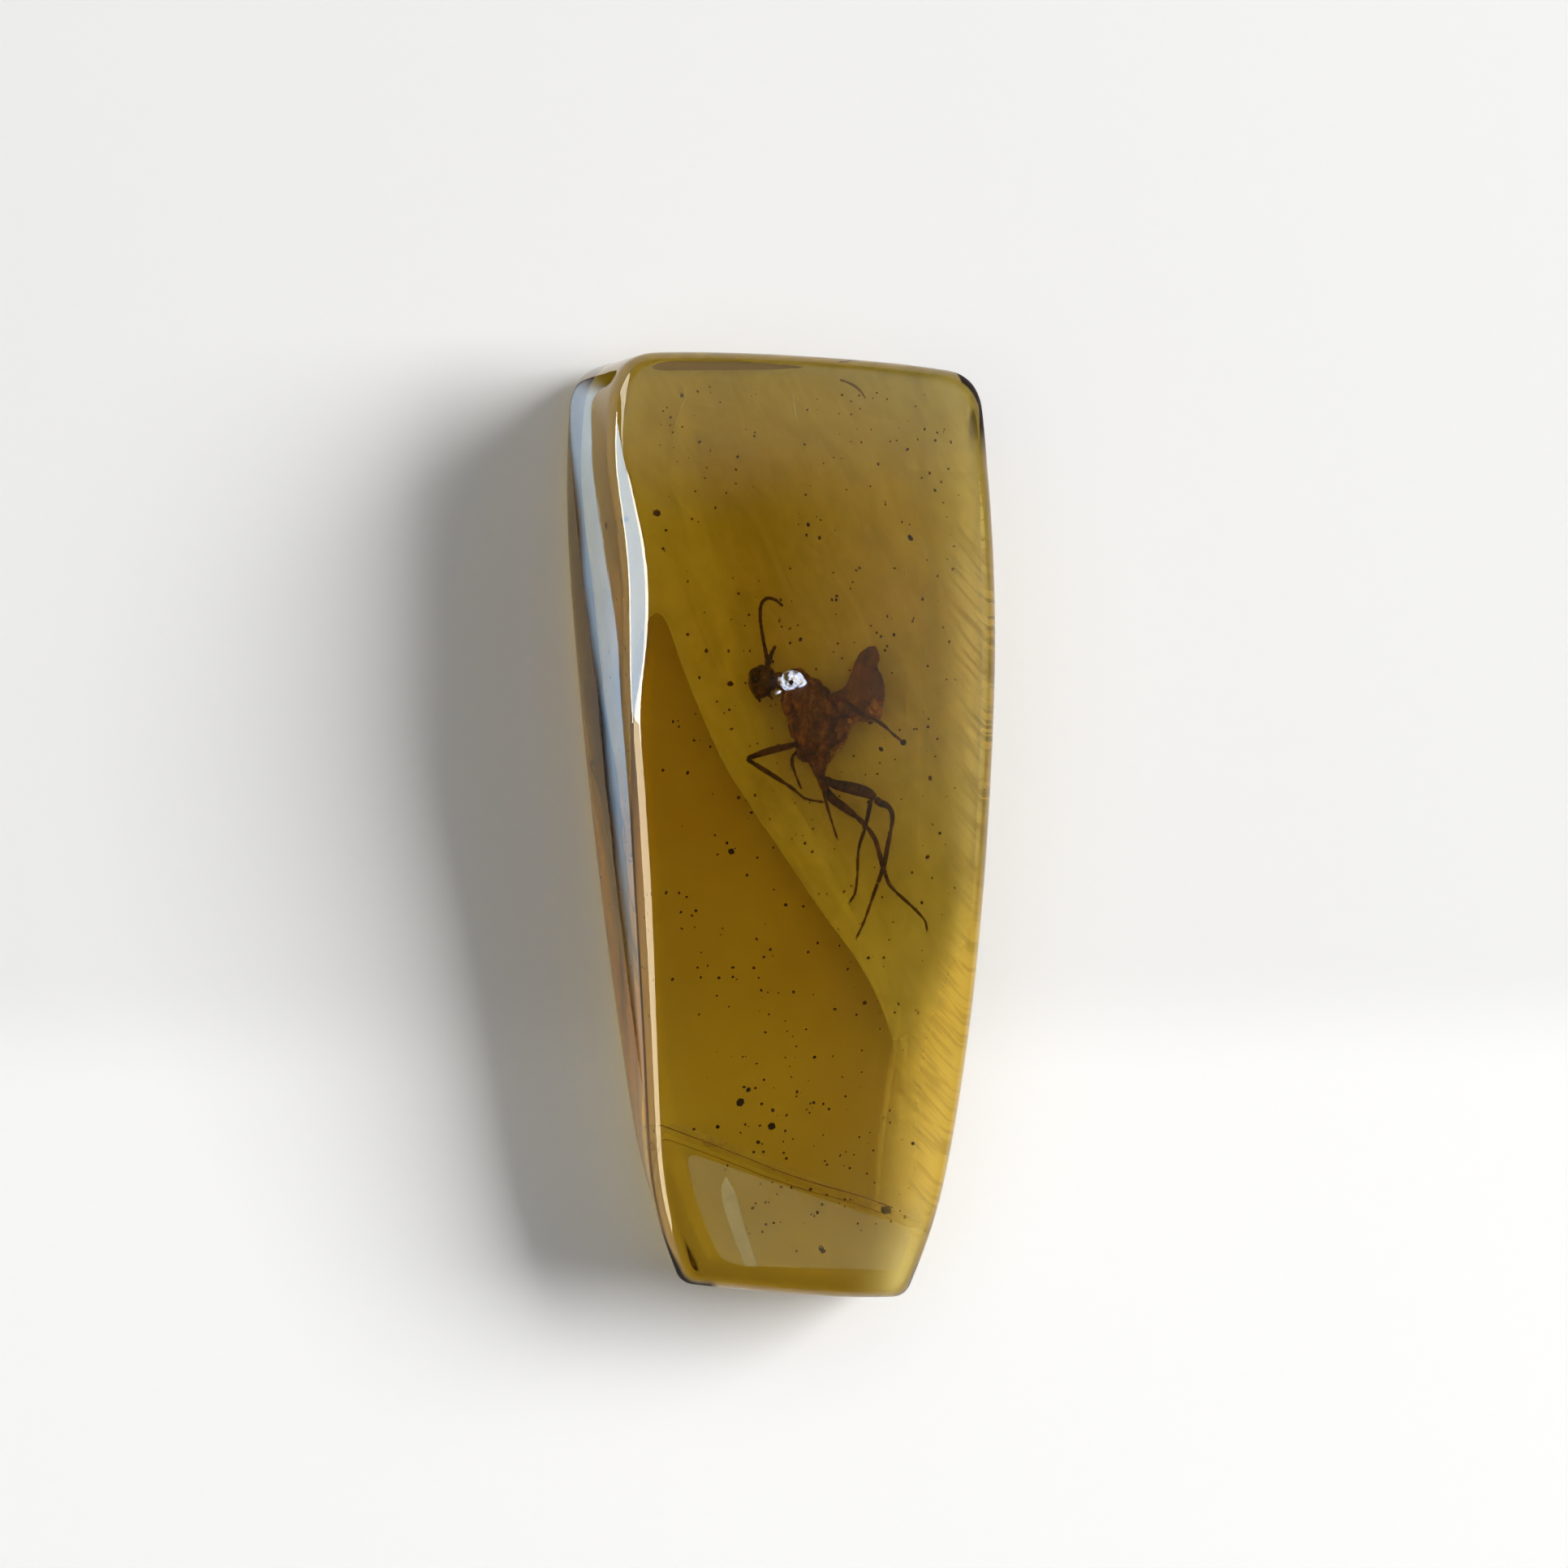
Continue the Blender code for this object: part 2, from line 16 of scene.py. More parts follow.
import bmesh
import bpy
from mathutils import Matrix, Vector


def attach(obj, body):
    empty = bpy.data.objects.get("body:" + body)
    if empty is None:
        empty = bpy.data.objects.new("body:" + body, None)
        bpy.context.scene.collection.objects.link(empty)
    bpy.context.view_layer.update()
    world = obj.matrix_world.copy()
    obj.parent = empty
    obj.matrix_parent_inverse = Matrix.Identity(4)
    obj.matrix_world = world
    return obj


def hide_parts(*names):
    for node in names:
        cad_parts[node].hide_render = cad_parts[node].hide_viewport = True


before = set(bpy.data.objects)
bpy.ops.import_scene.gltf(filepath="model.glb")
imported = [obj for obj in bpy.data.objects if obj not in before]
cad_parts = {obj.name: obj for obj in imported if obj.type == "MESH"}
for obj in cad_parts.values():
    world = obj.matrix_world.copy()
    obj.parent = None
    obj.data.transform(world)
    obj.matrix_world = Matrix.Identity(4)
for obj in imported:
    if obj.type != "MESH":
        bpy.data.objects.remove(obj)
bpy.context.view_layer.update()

SEE_THROUGH_BOUNCES = 24
LIGHT_BOUNCES = 16
MM = 0.001
LOG = logging.getLogger("insect_in_amber")

Plan = tuple[float, float]
Place = tuple[float, float, float]
Station = tuple[float, float, float, float]
Colour = tuple[float, float, float]
Table = tuple[Plan, ...]

INSECT_LEVEL = 2.40                 # height of the plane that the insect lies along
BODY = "root"


class Slot(Enum):
    """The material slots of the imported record."""

    AMBER = "amber"
    INSECT = "insect"


# ------------------------------------------------------------------------------ smooth curves
def smooth_value(table: Sequence[Plan], at: float) -> float:
    """Read a smooth curve through (position, value) pairs, held level past its ends.

    Args:
        table: The pairs, in rising order of position.
        at: The position to read.

    Returns:
        The curve's value there.
    """
    if at <= table[0][0]:
        return table[0][1]
    if at >= table[-1][0]:
        return table[-1][1]
    slopes = []
    for i in range(len(table)):
        before = table[max(i - 1, 0)]
        after = table[min(i + 1, len(table) - 1)]
        slopes.append((after[1] - before[1]) / (after[0] - before[0]))
    i = max(k for k in range(len(table) - 1) if table[k][0] <= at)
    span = table[i + 1][0] - table[i][0]
    t = (at - table[i][0]) / span
    rise = (3 - 2 * t) * t * t
    lead_out = t * (1 - t) ** 2 * span * slopes[i]
    lead_in = t * t * (1 - t) * span * slopes[i + 1]
    return table[i][1] * (1 - rise) + table[i + 1][1] * rise + lead_out - lead_in


class Path:
    """A smooth line through stations, read by the share of its length."""

    def __init__(self, stations: Sequence[tuple[float, ...]]) -> None:
        """Measure the line.

        Args:
            stations: Two or three coordinates each, and a radius after them where there is one.
        """
        sides = min(len(stations[0]), 3)
        lengths = [0.0]
        for start, end in zip(stations, stations[1:]):
            lengths.append(lengths[-1] + math.dist(start[:sides], end[:sides]))
        self.length = lengths[-1]
        self.columns = [
            [(length / self.length, station[k]) for length, station in zip(lengths, stations)]
            for k in range(len(stations[0]))
        ]

    def at(self, share: float) -> tuple[float, ...]:
        """Everything that a station holds, at a share of the length."""
        return tuple(smooth_value(column, share) for column in self.columns)

    def every(self, step: float) -> list[tuple[float, ...]]:
        """Stations at equal distances of about one step, and at least five of them."""
        count = max(4, round(self.length / step))
        return [self.at(i / count) for i in range(count + 1)]


# ------------------------------------------------------------------------------ modelling
class Workpiece:
    """One mesh while it is modelled; its tools act on what was selected last."""

    def __init__(self, name: str) -> None:
        """Take over the primitive that was just added.

        Args:
            name: What the piece is called from here on.
        """
        self.thing = bpy.context.object
        self.thing.name = name
        self.thing.data.name = name
        bpy.ops.object.transform_apply(location=True, rotation=True, scale=True)

    @classmethod
    def ring(cls, name: str, count: int, radius: float, centre: Place) -> "Workpiece":
        """Start from an open circle of vertices."""
        bpy.ops.object.select_all(action="DESELECT")
        bpy.ops.mesh.primitive_circle_add(vertices=count, radius=radius, location=centre)
        return cls(name)

    @classmethod
    def ball(cls, name: str, centre: Place, axes: Place, turn: float = 0.0,
             segments: int = 24, rings: int = 16) -> "Workpiece":
        """Start from an ellipsoid.

        Args:
            name: Name of the piece.
            centre: Where its middle is.
            axes: Its half lengths.
            turn: How far it is turned about the vertical, in degrees anticlockwise.
            segments: Faces around it.
            rings: Faces from pole to pole.

        Returns:
            The new workpiece.
        """
        bpy.ops.object.select_all(action="DESELECT")
        bpy.ops.mesh.primitive_uv_sphere_add(
            segments=segments, ring_count=rings, radius=1.0, location=centre,
            rotation=(0.0, 0.0, math.radians(turn)), scale=axes)
        return cls(name)

    @classmethod
    def pebble(cls, name: str, size: float) -> "Workpiece":
        """Start from a grain of twenty faces."""
        bpy.ops.object.select_all(action="DESELECT")
        bpy.ops.mesh.primitive_ico_sphere_add(subdivisions=1, radius=size)
        return cls(name)

    @classmethod
    def chain(cls, name: str, places: Sequence[Place]) -> "Workpiece":
        """Start from a line of edges through places, extruded from a single vertex.

        Args:
            name: Name of the piece.
            places: Where the line runs.

        Returns:
            The new workpiece.
        """
        bpy.ops.object.select_all(action="DESELECT")
        bpy.ops.mesh.primitive_plane_add(size=0.01, location=places[0])
        work = cls(name)
        work.open()
        bpy.ops.mesh.select_all(action="SELECT")
        bpy.ops.mesh.merge(type="CENTER")
        for start, end in zip(places, places[1:]):
            step = tuple(b - a for a, b in zip(start, end))
            bpy.ops.mesh.extrude_region_move(TRANSFORM_OT_translate={"value": step})
        work.close()
        return work

    def make_active(self) -> None:
        """Select this piece alone."""
        bpy.ops.object.select_all(action="DESELECT")
        self.thing.select_set(True)
        bpy.context.view_layer.objects.active = self.thing

    def open(self) -> None:
        """Enter edit mode with nothing selected."""
        self.make_active()
        bpy.ops.object.mode_set(mode="EDIT")
        bpy.ops.mesh.select_mode(type="VERT")
        bpy.ops.mesh.select_all(action="DESELECT")

    def close(self) -> None:
        """Leave edit mode."""
        bpy.ops.object.mode_set(mode="OBJECT")

    def edit_mesh(self) -> bmesh.types.BMesh:
        """The mesh that is open for editing, with its vertices numbered."""
        mesh = bmesh.from_edit_mesh(self.thing.data)
        mesh.verts.ensure_lookup_table()
        return mesh

    def pick(self, test: Callable[[Vector], bool]) -> None:
        """Select the vertices whose place passes a test, and nothing else."""
        mesh = self.edit_mesh()
        self.pick_numbers([vertex.index for vertex in mesh.verts if test(vertex.co)])

    def pick_numbers(self, numbers: Sequence[int], active: int | None = None) -> None:
        """Select vertices by number, and nothing else.

        Args:
            numbers: The vertices.
            active: The one that counts as picked last.
        """
        bpy.ops.mesh.select_all(action="DESELECT")
        mesh = self.edit_mesh()
        for number in numbers:
            mesh.verts[number].select_set(True)
        mesh.select_flush_mode()
        mesh.select_history.clear()
        if active is not None:
            mesh.select_history.add(mesh.verts[active])
        bmesh.update_edit_mesh(self.thing.data)

    def move_to(self, targets: dict[int, Vector]) -> None:
        """Move single vertices to places, and leave them selected.

        Args:
            targets: A place for each vertex number.
        """
        bpy.ops.mesh.select_all(action="DESELECT")
        for number, target in targets.items():
            mesh = self.edit_mesh()
            vertex = mesh.verts[number]
            vertex.select_set(True)
            step = Vector(target) - vertex.co
            bmesh.update_edit_mesh(self.thing.data, loop_triangles=False, destructive=False)
            bpy.ops.transform.translate(value=step)
            mesh = self.edit_mesh()
            mesh.verts[number].select_set(False)
        self.pick_numbers(list(targets))

    def settle_ring(self, places: Sequence[Vector]) -> list[int]:
        """Move the vertices of a fresh ring to places, one each and in the same turn.

        Args:
            places: As many places as the ring has vertices.

        Returns:
            The vertex numbers, in the order of the places.
        """
        mesh = self.edit_mesh()
        ring = [vertex.co.copy() for vertex in mesh.verts]
        order = list(range(len(ring)))
        if turning(ring) * turning(places) < 0:
            order.reverse()
        self.move_to(dict(zip(order, places)))
        return order

    def extrude_ring(self, order: Sequence[int], places: Sequence[Vector]) -> list[int]:
        """Extrude the selected ring and move each new vertex to its own place.

        Args:
            order: The ring's vertex numbers, in the order of the places.
            places: Where the new ring runs.

        Returns:
            The new ring's vertex numbers, in the same order.
        """
        mesh = self.edit_mesh()
        old = [mesh.verts[number].co.copy() for number in order]
        bpy.ops.mesh.extrude_region_move(TRANSFORM_OT_translate={"value": (0.0, 0.0, 0.0)})
        mesh = self.edit_mesh()
        fresh = [vertex for vertex in mesh.verts if vertex.select]
        numbers = []
        for place in old:
            nearest = min(fresh, key=lambda vertex: (vertex.co - place).length_squared)
            fresh.remove(nearest)
            numbers.append(nearest.index)
        self.move_to(dict(zip(numbers, places)))
        return numbers

    def cap_ring(self, order: Sequence[int], corner: int, span: int) -> list[int]:
        """Close a ring with a grid of faces.

        Args:
            order: The ring's vertex numbers.
            corner: Which of them is a corner of the grid.
            span: How many faces wide the grid is.

        Returns:
            The numbers of the vertices inside the grid.
        """
        before = len(self.edit_mesh().verts)
        self.pick_numbers(order, active=order[corner])
        bpy.ops.mesh.fill_grid(span=span, offset=0)
        return list(range(before, len(self.edit_mesh().verts)))

    def slice_off(self, point: Place, normal: Place) -> None:
        """Cut off what lies beyond a plane and close the cut.

        Args:
            point: A point of the plane.
            normal: Points to the side that goes.
        """
        self.open()
        bpy.ops.mesh.select_all(action="SELECT")
        bpy.ops.mesh.bisect(plane_co=point, plane_no=normal, use_fill=True, clear_outer=True)
        self.close()

    def modify(self, kind: str, **settings: object) -> None:
        """Add a modifier, set it and apply it.

        Args:
            kind: The modifier's type.
            settings: Its properties.
        """
        self.make_active()
        bpy.ops.object.modifier_add(type=kind)
        modifier = self.thing.modifiers[-1]
        for name, value in settings.items():
            setattr(modifier, name, value)
        bpy.ops.object.modifier_apply(modifier=modifier.name)

    def skin(self, radii: Sequence[float], levels: int) -> None:
        """Give a chain of edges a round body.

        Args:
            radii: One for each vertex.
            levels: How often the body is subdivided.
        """
        self.make_active()
        bpy.ops.object.modifier_add(type="SKIN")
        for vertex, radius in zip(self.thing.data.skin_vertices[0].data, radii):
            vertex.radius = (radius, radius)
        self.thing.modifiers[-1].branch_smoothing = 0.5
        bpy.ops.object.modifier_apply(modifier=self.thing.modifiers[-1].name)
        self.modify("SUBSURF", levels=levels, render_levels=levels)

    def rough_up(self, kind: str, size: float, strength: float) -> None:
        """Push the surface in and out by a procedural pattern.

        Args:
            kind: The pattern's type.
            size: The pattern's grain.
            strength: How far the surface moves.
        """
        pattern = bpy.data.textures.new(self.thing.name + "_relief", kind)
        pattern.noise_scale = size
        self.modify("DISPLACE", texture=pattern, texture_coords="LOCAL", strength=strength,
                    mid_level=0.5)

    def absorb(self, others: Sequence["Workpiece"]) -> None:
        """Join other workpieces into this one."""
        self.make_active()
        for other in others:
            other.thing.select_set(True)
        bpy.ops.object.join()

    def copy_to(self, name: str, spot: Place, scale: Sequence[float],
                turn: Sequence[float]) -> "Workpiece":
        """A copy with its own mesh.

        Args:
            name: What the copy is called.
            spot: Where it goes.
            scale: Factor along each axis.
            turn: Its Euler angles.

        Returns:
            The copy.
        """
        self.make_active()
        bpy.ops.object.duplicate(linked=False)
        thing = bpy.context.object
        thing.rotation_euler = turn
        thing.scale = scale
        thing.location = spot
        return Workpiece(name)

    def to_metres(self) -> None:
        """Bring the piece from millimetres to metres."""
        self.make_active()
        self.thing.scale = (MM, MM, MM)
        bpy.ops.object.transform_apply(location=True, rotation=True, scale=True)

    def hand_over(self, material: bpy.types.Material, slot: Slot, angle: float = 180.0,
                  stands_for: Sequence[str] = ()) -> bpy.types.Object:
        """Bring the piece to metres, dress it and fix it to the frame.

        Args:
            material: Its finish.
            slot: The record's material slot that the finish belongs to; not used.
            angle: Edges sharper than this many degrees stay sharp.
            stands_for: CAD nodes that it replaces.

        Returns:
            The finished object.
        """
        self.open()
        bpy.ops.mesh.select_all(action="SELECT")
        bpy.ops.mesh.normals_make_consistent(inside=False)
        self.close()
        self.to_metres()
        if angle < 180.0:
            bpy.ops.object.shade_smooth_by_angle(angle=math.radians(angle))
        else:
            bpy.ops.object.shade_smooth()
        self.thing.data.materials.clear()
        self.thing.data.materials.append(material)
        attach(self.thing, BODY)
        if stands_for:
            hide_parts(*stands_for)
        LOG.info("%s: %d faces", self.thing.name, len(self.thing.data.polygons))
        return self.thing


def turning(places: Sequence[Vector]) -> float:
    """Twice the plan area inside a loop, above zero where it runs anticlockwise."""
    return sum(a.x * b.y - b.x * a.y for a, b in zip(places, list(places[1:]) + [places[0]]))


def over_level(place: Sequence[float]) -> Place:
    """A place that is given over the insect's level, as one in the frame."""
    return place[0], place[1], INSECT_LEVEL + place[2]


def fuse(name: str, parts: Sequence[Workpiece], voxel: float, rounds: int) -> Workpiece:
    """Melt overlapping parts into one closed, smooth body.

    Args:
        name: Name of the body.
        parts: What it is made from.
        voxel: Grain of the new surface.
        rounds: How often it is smoothed.

    Returns:
        The body.
    """
    body = parts[0]
    body.absorb(parts[1:])
    body.thing.name = name
    body.modify("REMESH", mode="VOXEL", voxel_size=voxel)
    body.modify("SMOOTH", factor=0.5, iterations=rounds)
    return body


# ------------------------------------------------------------------------------ shader maths
class Value:
    """A shader socket that Python's operators can calculate with."""

    def __init__(self, recipe: "Recipe", socket: bpy.types.NodeSocket) -> None:
        """Wrap an output socket."""
        self.recipe = recipe
        self.socket = socket

    def _math(self, operation: str, first: "Feed", second: "Feed") -> "Value":
        """A Math node on two values."""
        return self.recipe.node("Math", {"operation": operation}, {0: first, 1: second})

    def __add__(self, other: "Feed") -> "Value":
        """Sum."""
        return self._math("ADD", self, other)

    __radd__ = __add__

    def __sub__(self, other: "Feed") -> "Value":
        """Difference."""
        return self._math("SUBTRACT", self, other)

    def __rsub__(self, other: "Feed") -> "Value":
        """Difference, from the right."""
        return self._math("SUBTRACT", other, self)

    def __mul__(self, other: "Feed") -> "Value":
        """Product."""
        return self._math("MULTIPLY", self, other)

    def __pow__(self, other: "Feed") -> "Value":
        """Power."""
        return self._math("POWER", self, other)

    def step(self, low: float, high: float) -> "Value":
        """A soft step from 0 at low to 1 at high."""
        return self.recipe.node("MapRange", {"interpolation_type": "SMOOTHSTEP"},
                                {0: self, 1: low, 2: high})


Feed = float | tuple | Value


class Recipe:
    """A node tree while it is written."""

    def __init__(self, tree: bpy.types.NodeTree) -> None:
        """Start from an empty tree."""
        self.tree = tree
        tree.nodes.clear()

    def node(self, kind: str, settings: dict[str, object] | None = None,
             feeds: dict[int | str, Feed] | None = None, output: int | str = 0) -> Value:
        """Add one node.

        Args:
            kind: The node's type, without its ShaderNode prefix.
            settings: Properties, which are set first; stops fills a colour ramp.
            feeds: Values or links for its sockets, by name or number.
            output: The socket that the result stands for.

        Returns:
            The output, ready to calculate with.
        """
        made = self.tree.nodes.new("ShaderNode" + kind)
        for name, value in (settings or {}).items():
            if name == "stops":
                self._fill_ramp(made.color_ramp, value)
            else:
                setattr(made, name, value)
        for socket, value in (feeds or {}).items():
            if isinstance(value, Value):
                self.tree.links.new(value.socket, made.inputs[socket])
            else:
                made.inputs[socket].default_value = value
        return Value(self, made.outputs[output] if made.outputs else None)

    @staticmethod
    def _fill_ramp(ramp: bpy.types.ColorRamp, stops: Sequence[tuple[float, Colour]]) -> None:
        """Give a ramp its stops.

        Args:
            ramp: The ramp of a new node.
            stops: Position and colour of each.
        """
        while len(ramp.elements) < len(stops):
            ramp.elements.new(1.0)
        for element, (position, colour) in zip(ramp.elements, stops):
            element.position = position
            element.color = (*colour, 1.0)

    def millimetres(self, stretch: Place = (1.0, 1.0, 1.0), turn: float = 0.0) -> Value:
        """Object coordinates in millimetres, turned about the vertical and then stretched.

        Args:
            stretch: Factor along each axis.
            turn: Degrees anticlockwise that the pattern is turned.

        Returns:
            The coordinates.
        """
        place = self.node("TexCoord", output="Object")
        scale = tuple(factor / MM for factor in stretch)
        turned = self.node("Mapping", {"vector_type": "POINT"},
                           {"Vector": place, "Rotation": (0.0, 0.0, math.radians(-turn))})
        return self.node("VectorMath", {"operation": "MULTIPLY"}, {0: turned, 1: scale})

    def noise(self, where: Value, scale: float, detail: float = 3.0, rough: float = 0.55,
              twist: float = 0.0) -> Value:
        """A cloudy pattern from 0 to 1."""
        return self.node("TexNoise", {}, {"Vector": where, "Scale": scale, "Detail": detail,
                                          "Roughness": rough, "Distortion": twist})

    def cells(self, where: Value, scale: float, feature: str = "F1") -> Value:
        """Distances in a cell pattern."""
        return self.node("TexVoronoi", {"feature": feature}, {"Vector": where, "Scale": scale})

    def axis(self, where: Value, name: str) -> Value:
        """One coordinate of a place."""
        return self.node("SeparateXYZ", {}, {0: where}, output=name)

    def mix(self, share: Feed, first: Feed, second: Feed) -> Value:
        """Blend two colours."""
        return self.node("Mix", {"data_type": "RGBA"},
                         {0: share, 6: opaque(first), 7: opaque(second)}, output=2)

    def ramp(self, share: Feed, *stops: tuple[float, Colour]) -> Value:
        """Colours along a value."""
        return self.node("ValToRGB", {"stops": stops}, {0: share})

    def bump(self, height: Value, distance: float) -> Value:
        """A normal from a height; the distance is in millimetres."""
        return self.node("Bump", {}, {"Height": height, "Distance": distance * MM,
                                      "Strength": 1.0})

    def clamp(self, value: Value) -> Value:
        """A value held between 0 and 1."""
        return self.node("Clamp", {}, {0: value})

    def principled(self, **feeds: Feed) -> Value:
        """A Principled node; underscores in the names stand for spaces."""
        return self.node("BsdfPrincipled", {},
                         {name.replace("_", " "): value for name, value in feeds.items()})

    def surface(self, shader: Value, volume: Value | None = None) -> None:
        """Send a shader, and what fills the solid, to the output."""
        feeds = {"Surface": shader}
        if volume is not None:
            feeds["Volume"] = volume
        self.node("OutputMaterial", {}, feeds)


def opaque(colour: Feed) -> Feed:
    """Give a plain colour its fourth number."""
    return (*colour, 1.0) if isinstance(colour, tuple) and len(colour) == 3 else colour


class Finish:
    """What all finishes share: a name and a recipe."""

    name = "finish"

    def make(self) -> bpy.types.Material:
        """A material with this finish's recipe."""
        material = bpy.data.materials.new(self.name)
        material.use_nodes = True
        self.write(Recipe(material.node_tree))
        return material

    def write(self, recipe: Recipe) -> None:
        """Fill the node tree; each finish has its own."""
        raise NotImplementedError


@dataclass(frozen=True)
class Resin(Finish):
    """Clear, polished amber that takes up light along its way."""

    name: str = "clear_amber"
    ior: float = 1.54
    absorption: Colour = (0.050, 0.103, 0.420)      # per millimetre
    scuff_rough: float = 0.045
    clear: Colour = (0.80, 0.79, 0.755)
    clouded: Colour = (0.765, 0.725, 0.63)
    # painted shade: a dark coat in the surface colour that stands in for the dark refraction along
    # some edges; these fields place it
    painted_shade: Colour = (0.010, 0.005, 0.003)
    painted_shade_corner: Plan = (4.70, 12.40)              # middle of the corner that it rounds
    painted_shade_radius: Plan = (0.86, 0.95)               # where it begins there, and where it is solid
    painted_shade_wall: Plan = (1.06, 0.076)                # the right wall: distance from there, slope
    foot: Plan = (-3.60, -10.60)                   # where the left wall runs near the narrow end
    foot_normal: Plan = (0.932, 0.362)
    foot_low: Plan = (3.3, 3.6)                    # height at which the painted shade begins there
    foot_high: Plan = (4.2, 4.5)                   # and at which it ends

    def write(self, recipe: Recipe) -> None:
        """Tint clouds, polishing marks, handling haze and a painted dark edge shade over a clear
        body.
        """
        where = recipe.millimetres()
        clouds = recipe.noise(where, 0.22, 4.0, 0.5, 0.6)
        tint = recipe.mix(clouds.step(0.38, 0.66), self.clear, self.clouded)

        # slanting grinding marks that were left along the right edge of the back
        height = recipe.axis(where, "Z")
        across = recipe.axis(where, "X")
        along = recipe.axis(where, "Y")
        low = 1.0 - height.step(1.6, 2.6)
        right = across.step(3.6, 4.8)
        marks = recipe.noise(recipe.millimetres((0.55, 6.5, 0.6), -42.0), 1.0, 2.0, 0.5)
        ground = low * right * marks.step(0.50, 0.60)
        tint = recipe.mix(ground * 0.8, tint, (0.42, 0.30, 0.14))

        smears = recipe.noise(where, 0.55, 5.0, 0.65, 1.2)
        hairlines = recipe.noise(recipe.millimetres((9.0, 0.6, 9.0), 20.0), 1.0, 2.0)
        scuffs = smears.step(0.52, 0.80) * self.scuff_rough + hairlines.step(0.66, 0.74) * 0.03
        wave = recipe.noise(where, 0.30, 2.0, 0.4)
        relief = wave * 4.0 + hairlines * 0.12 + ground * 1.0
        shader = recipe.principled(
            Base_Color=tint, Roughness=scuffs + 0.008, IOR=self.ior, Transmission_Weight=1.0,
            Normal=recipe.bump(relief, 0.006))
        strongest = max(self.absorption)
        colour = tuple(1.0 - part / strongest for part in self.absorption)
        depth = recipe.node("VolumeAbsorption", {},
                            {"Color": opaque(colour), "Density": strongest / MM})
        # painted shade: a dark, rough coat laid over the clear resin where refraction looks dark
        painted_dark = recipe.principled(Base_Color=opaque(self.painted_shade), Roughness=scuffs * 2.0 + 0.5,
                                  Specular_IOR_Level=0.05)
        covered = recipe.node("MixShader", {}, {0: self._painted_shade(recipe, across, along, height),
                                                1: shader, 2: painted_dark})
        recipe.surface(covered, depth)

    def _painted_shade(self, recipe: Recipe, across: Value, along: Value, height: Value) -> Value:
        """How solid the painted shade is at the wide end's right and the narrow end's left corner,
        where it stands in for dark refraction.

        Args:
            recipe: The material being written.
            across: Place along X, in millimetres.
            along: Place along Y, in millimetres.
            height: Place along Z, in millimetres.

        Returns:
            1 where the painted shade is solid.
        """
        east = across - self.painted_shade_corner[0]
        north = along - self.painted_shade_corner[1]
        rounded = (east ** 2.0 + north ** 2.0) ** 0.5
        turn = east - north
        thin = turn.step(0.3, 1.5) * 0.08 + (turn * -1.0).step(0.3, 0.9) * 0.30
        corner = (rounded - thin).step(*self.painted_shade_radius)
        corner = corner * north.step(-0.08, 0.04) * east.step(0.0, 0.3)
        outward = east - north * self.painted_shade_wall[1] - self.painted_shade_wall[0]
        side = outward.step(-0.15, -0.07) * (1.0 - north.step(-0.04, 0.08)) * north.step(-1.7, -0.3)
        inward = ((across - self.foot[0]) * self.foot_normal[0]
                  + (along - self.foot[1]) * self.foot_normal[1])
        taper = along.step(-13.0, -10.4) * 0.6
        belt = height.step(*self.foot_low) * (1.0 - (height + taper).step(*self.foot_high))
        foot = (1.0 - inward.step(0.10, 0.40)) * belt * (1.0 - along.step(-11.2, -10.2))
        rough = recipe.noise(recipe.millimetres(), 1.6, 3.0).step(0.15, 0.40)
        return recipe.clamp((corner + side + foot) * rough)


@dataclass(frozen=True)
class Chitin(Finish):
    """Insect skin: brown to black, finely pitted, with a dull shine."""

    name: str = "chitin"
    dark: Colour = (0.035, 0.012, 0.006)
    middle: Colour = (0.11, 0.037, 0.014)
    light: Colour = (0.27, 0.105, 0.036)
    grain: float = 2.2
    pits: float = 26.0
    rough: float = 0.42

    def write(self, recipe: Recipe) -> None:
        """Patches of three browns under a pitted relief, with painted shade darkening the pit
        hollows.
        """
        where = recipe.millimetres()
        patches = recipe.noise(where, self.grain, 5.0, 0.62, 0.8)
        streaks = recipe.noise(recipe.millimetres((3.0, 0.8, 3.0), -12.0), self.grain, 3.0)
        tone = patches * 0.6 + streaks * 0.4
        colour = recipe.ramp(tone, (0.36, self.dark), (0.50, self.middle), (0.66, self.light))
        pits = recipe.cells(where, self.pits)
        fine = recipe.noise(where, self.pits * 1.7, 3.0)
        # painted shade: the hollows of the pits are darkened in colour
        colour = recipe.mix((1.0 - pits).step(0.75, 1.0) * 0.35, colour, self.dark)
        relief = pits * 0.6 + fine * 0.3 + patches * 1.4
        shader = recipe.principled(
            Base_Color=colour, Roughness=fine * 0.25 + (self.rough - 0.10), IOR=1.55,
            Normal=recipe.bump(relief, 0.02))
        recipe.surface(shader)


@dataclass(frozen=True)
class WingSkin(Finish):
    """A wing membrane: see-through brown, crossed by darker veins."""

    name: str = "wing_skin"
    film: Colour = (0.42, 0.15, 0.04)
    vein: Colour = (0.10, 0.030, 0.012)
    least: float = 0.45                            # how solid the film is between its veins
    most: float = 0.92

    def write(self, recipe: Recipe) -> None:
        """Veins and clouded film, in colour and in how much shows through."""
        where = recipe.millimetres((1.6, 0.7, 1.0), 35.0)
        veins = 1.0 - recipe.cells(where, 2.6, "DISTANCE_TO_EDGE").step(0.02, 0.10)
        clouds = recipe.noise(where, 1.7, 4.0, 0.6, 0.5)
        thick = clouds.step(0.40, 0.62)
        colour = recipe.mix(thick * 0.55 + veins * 0.40, self.film, self.vein)
        solid = self.least + thick * (self.most - self.least) * 0.6 + veins * 0.30
        shader = recipe.principled(
            Base_Color=colour, Roughness=clouds * 0.2 + 0.30, IOR=1.45,
            Alpha=recipe.clamp(solid),
            Normal=recipe.bump(veins + clouds * 0.6, 0.02))
        recipe.surface(shader)


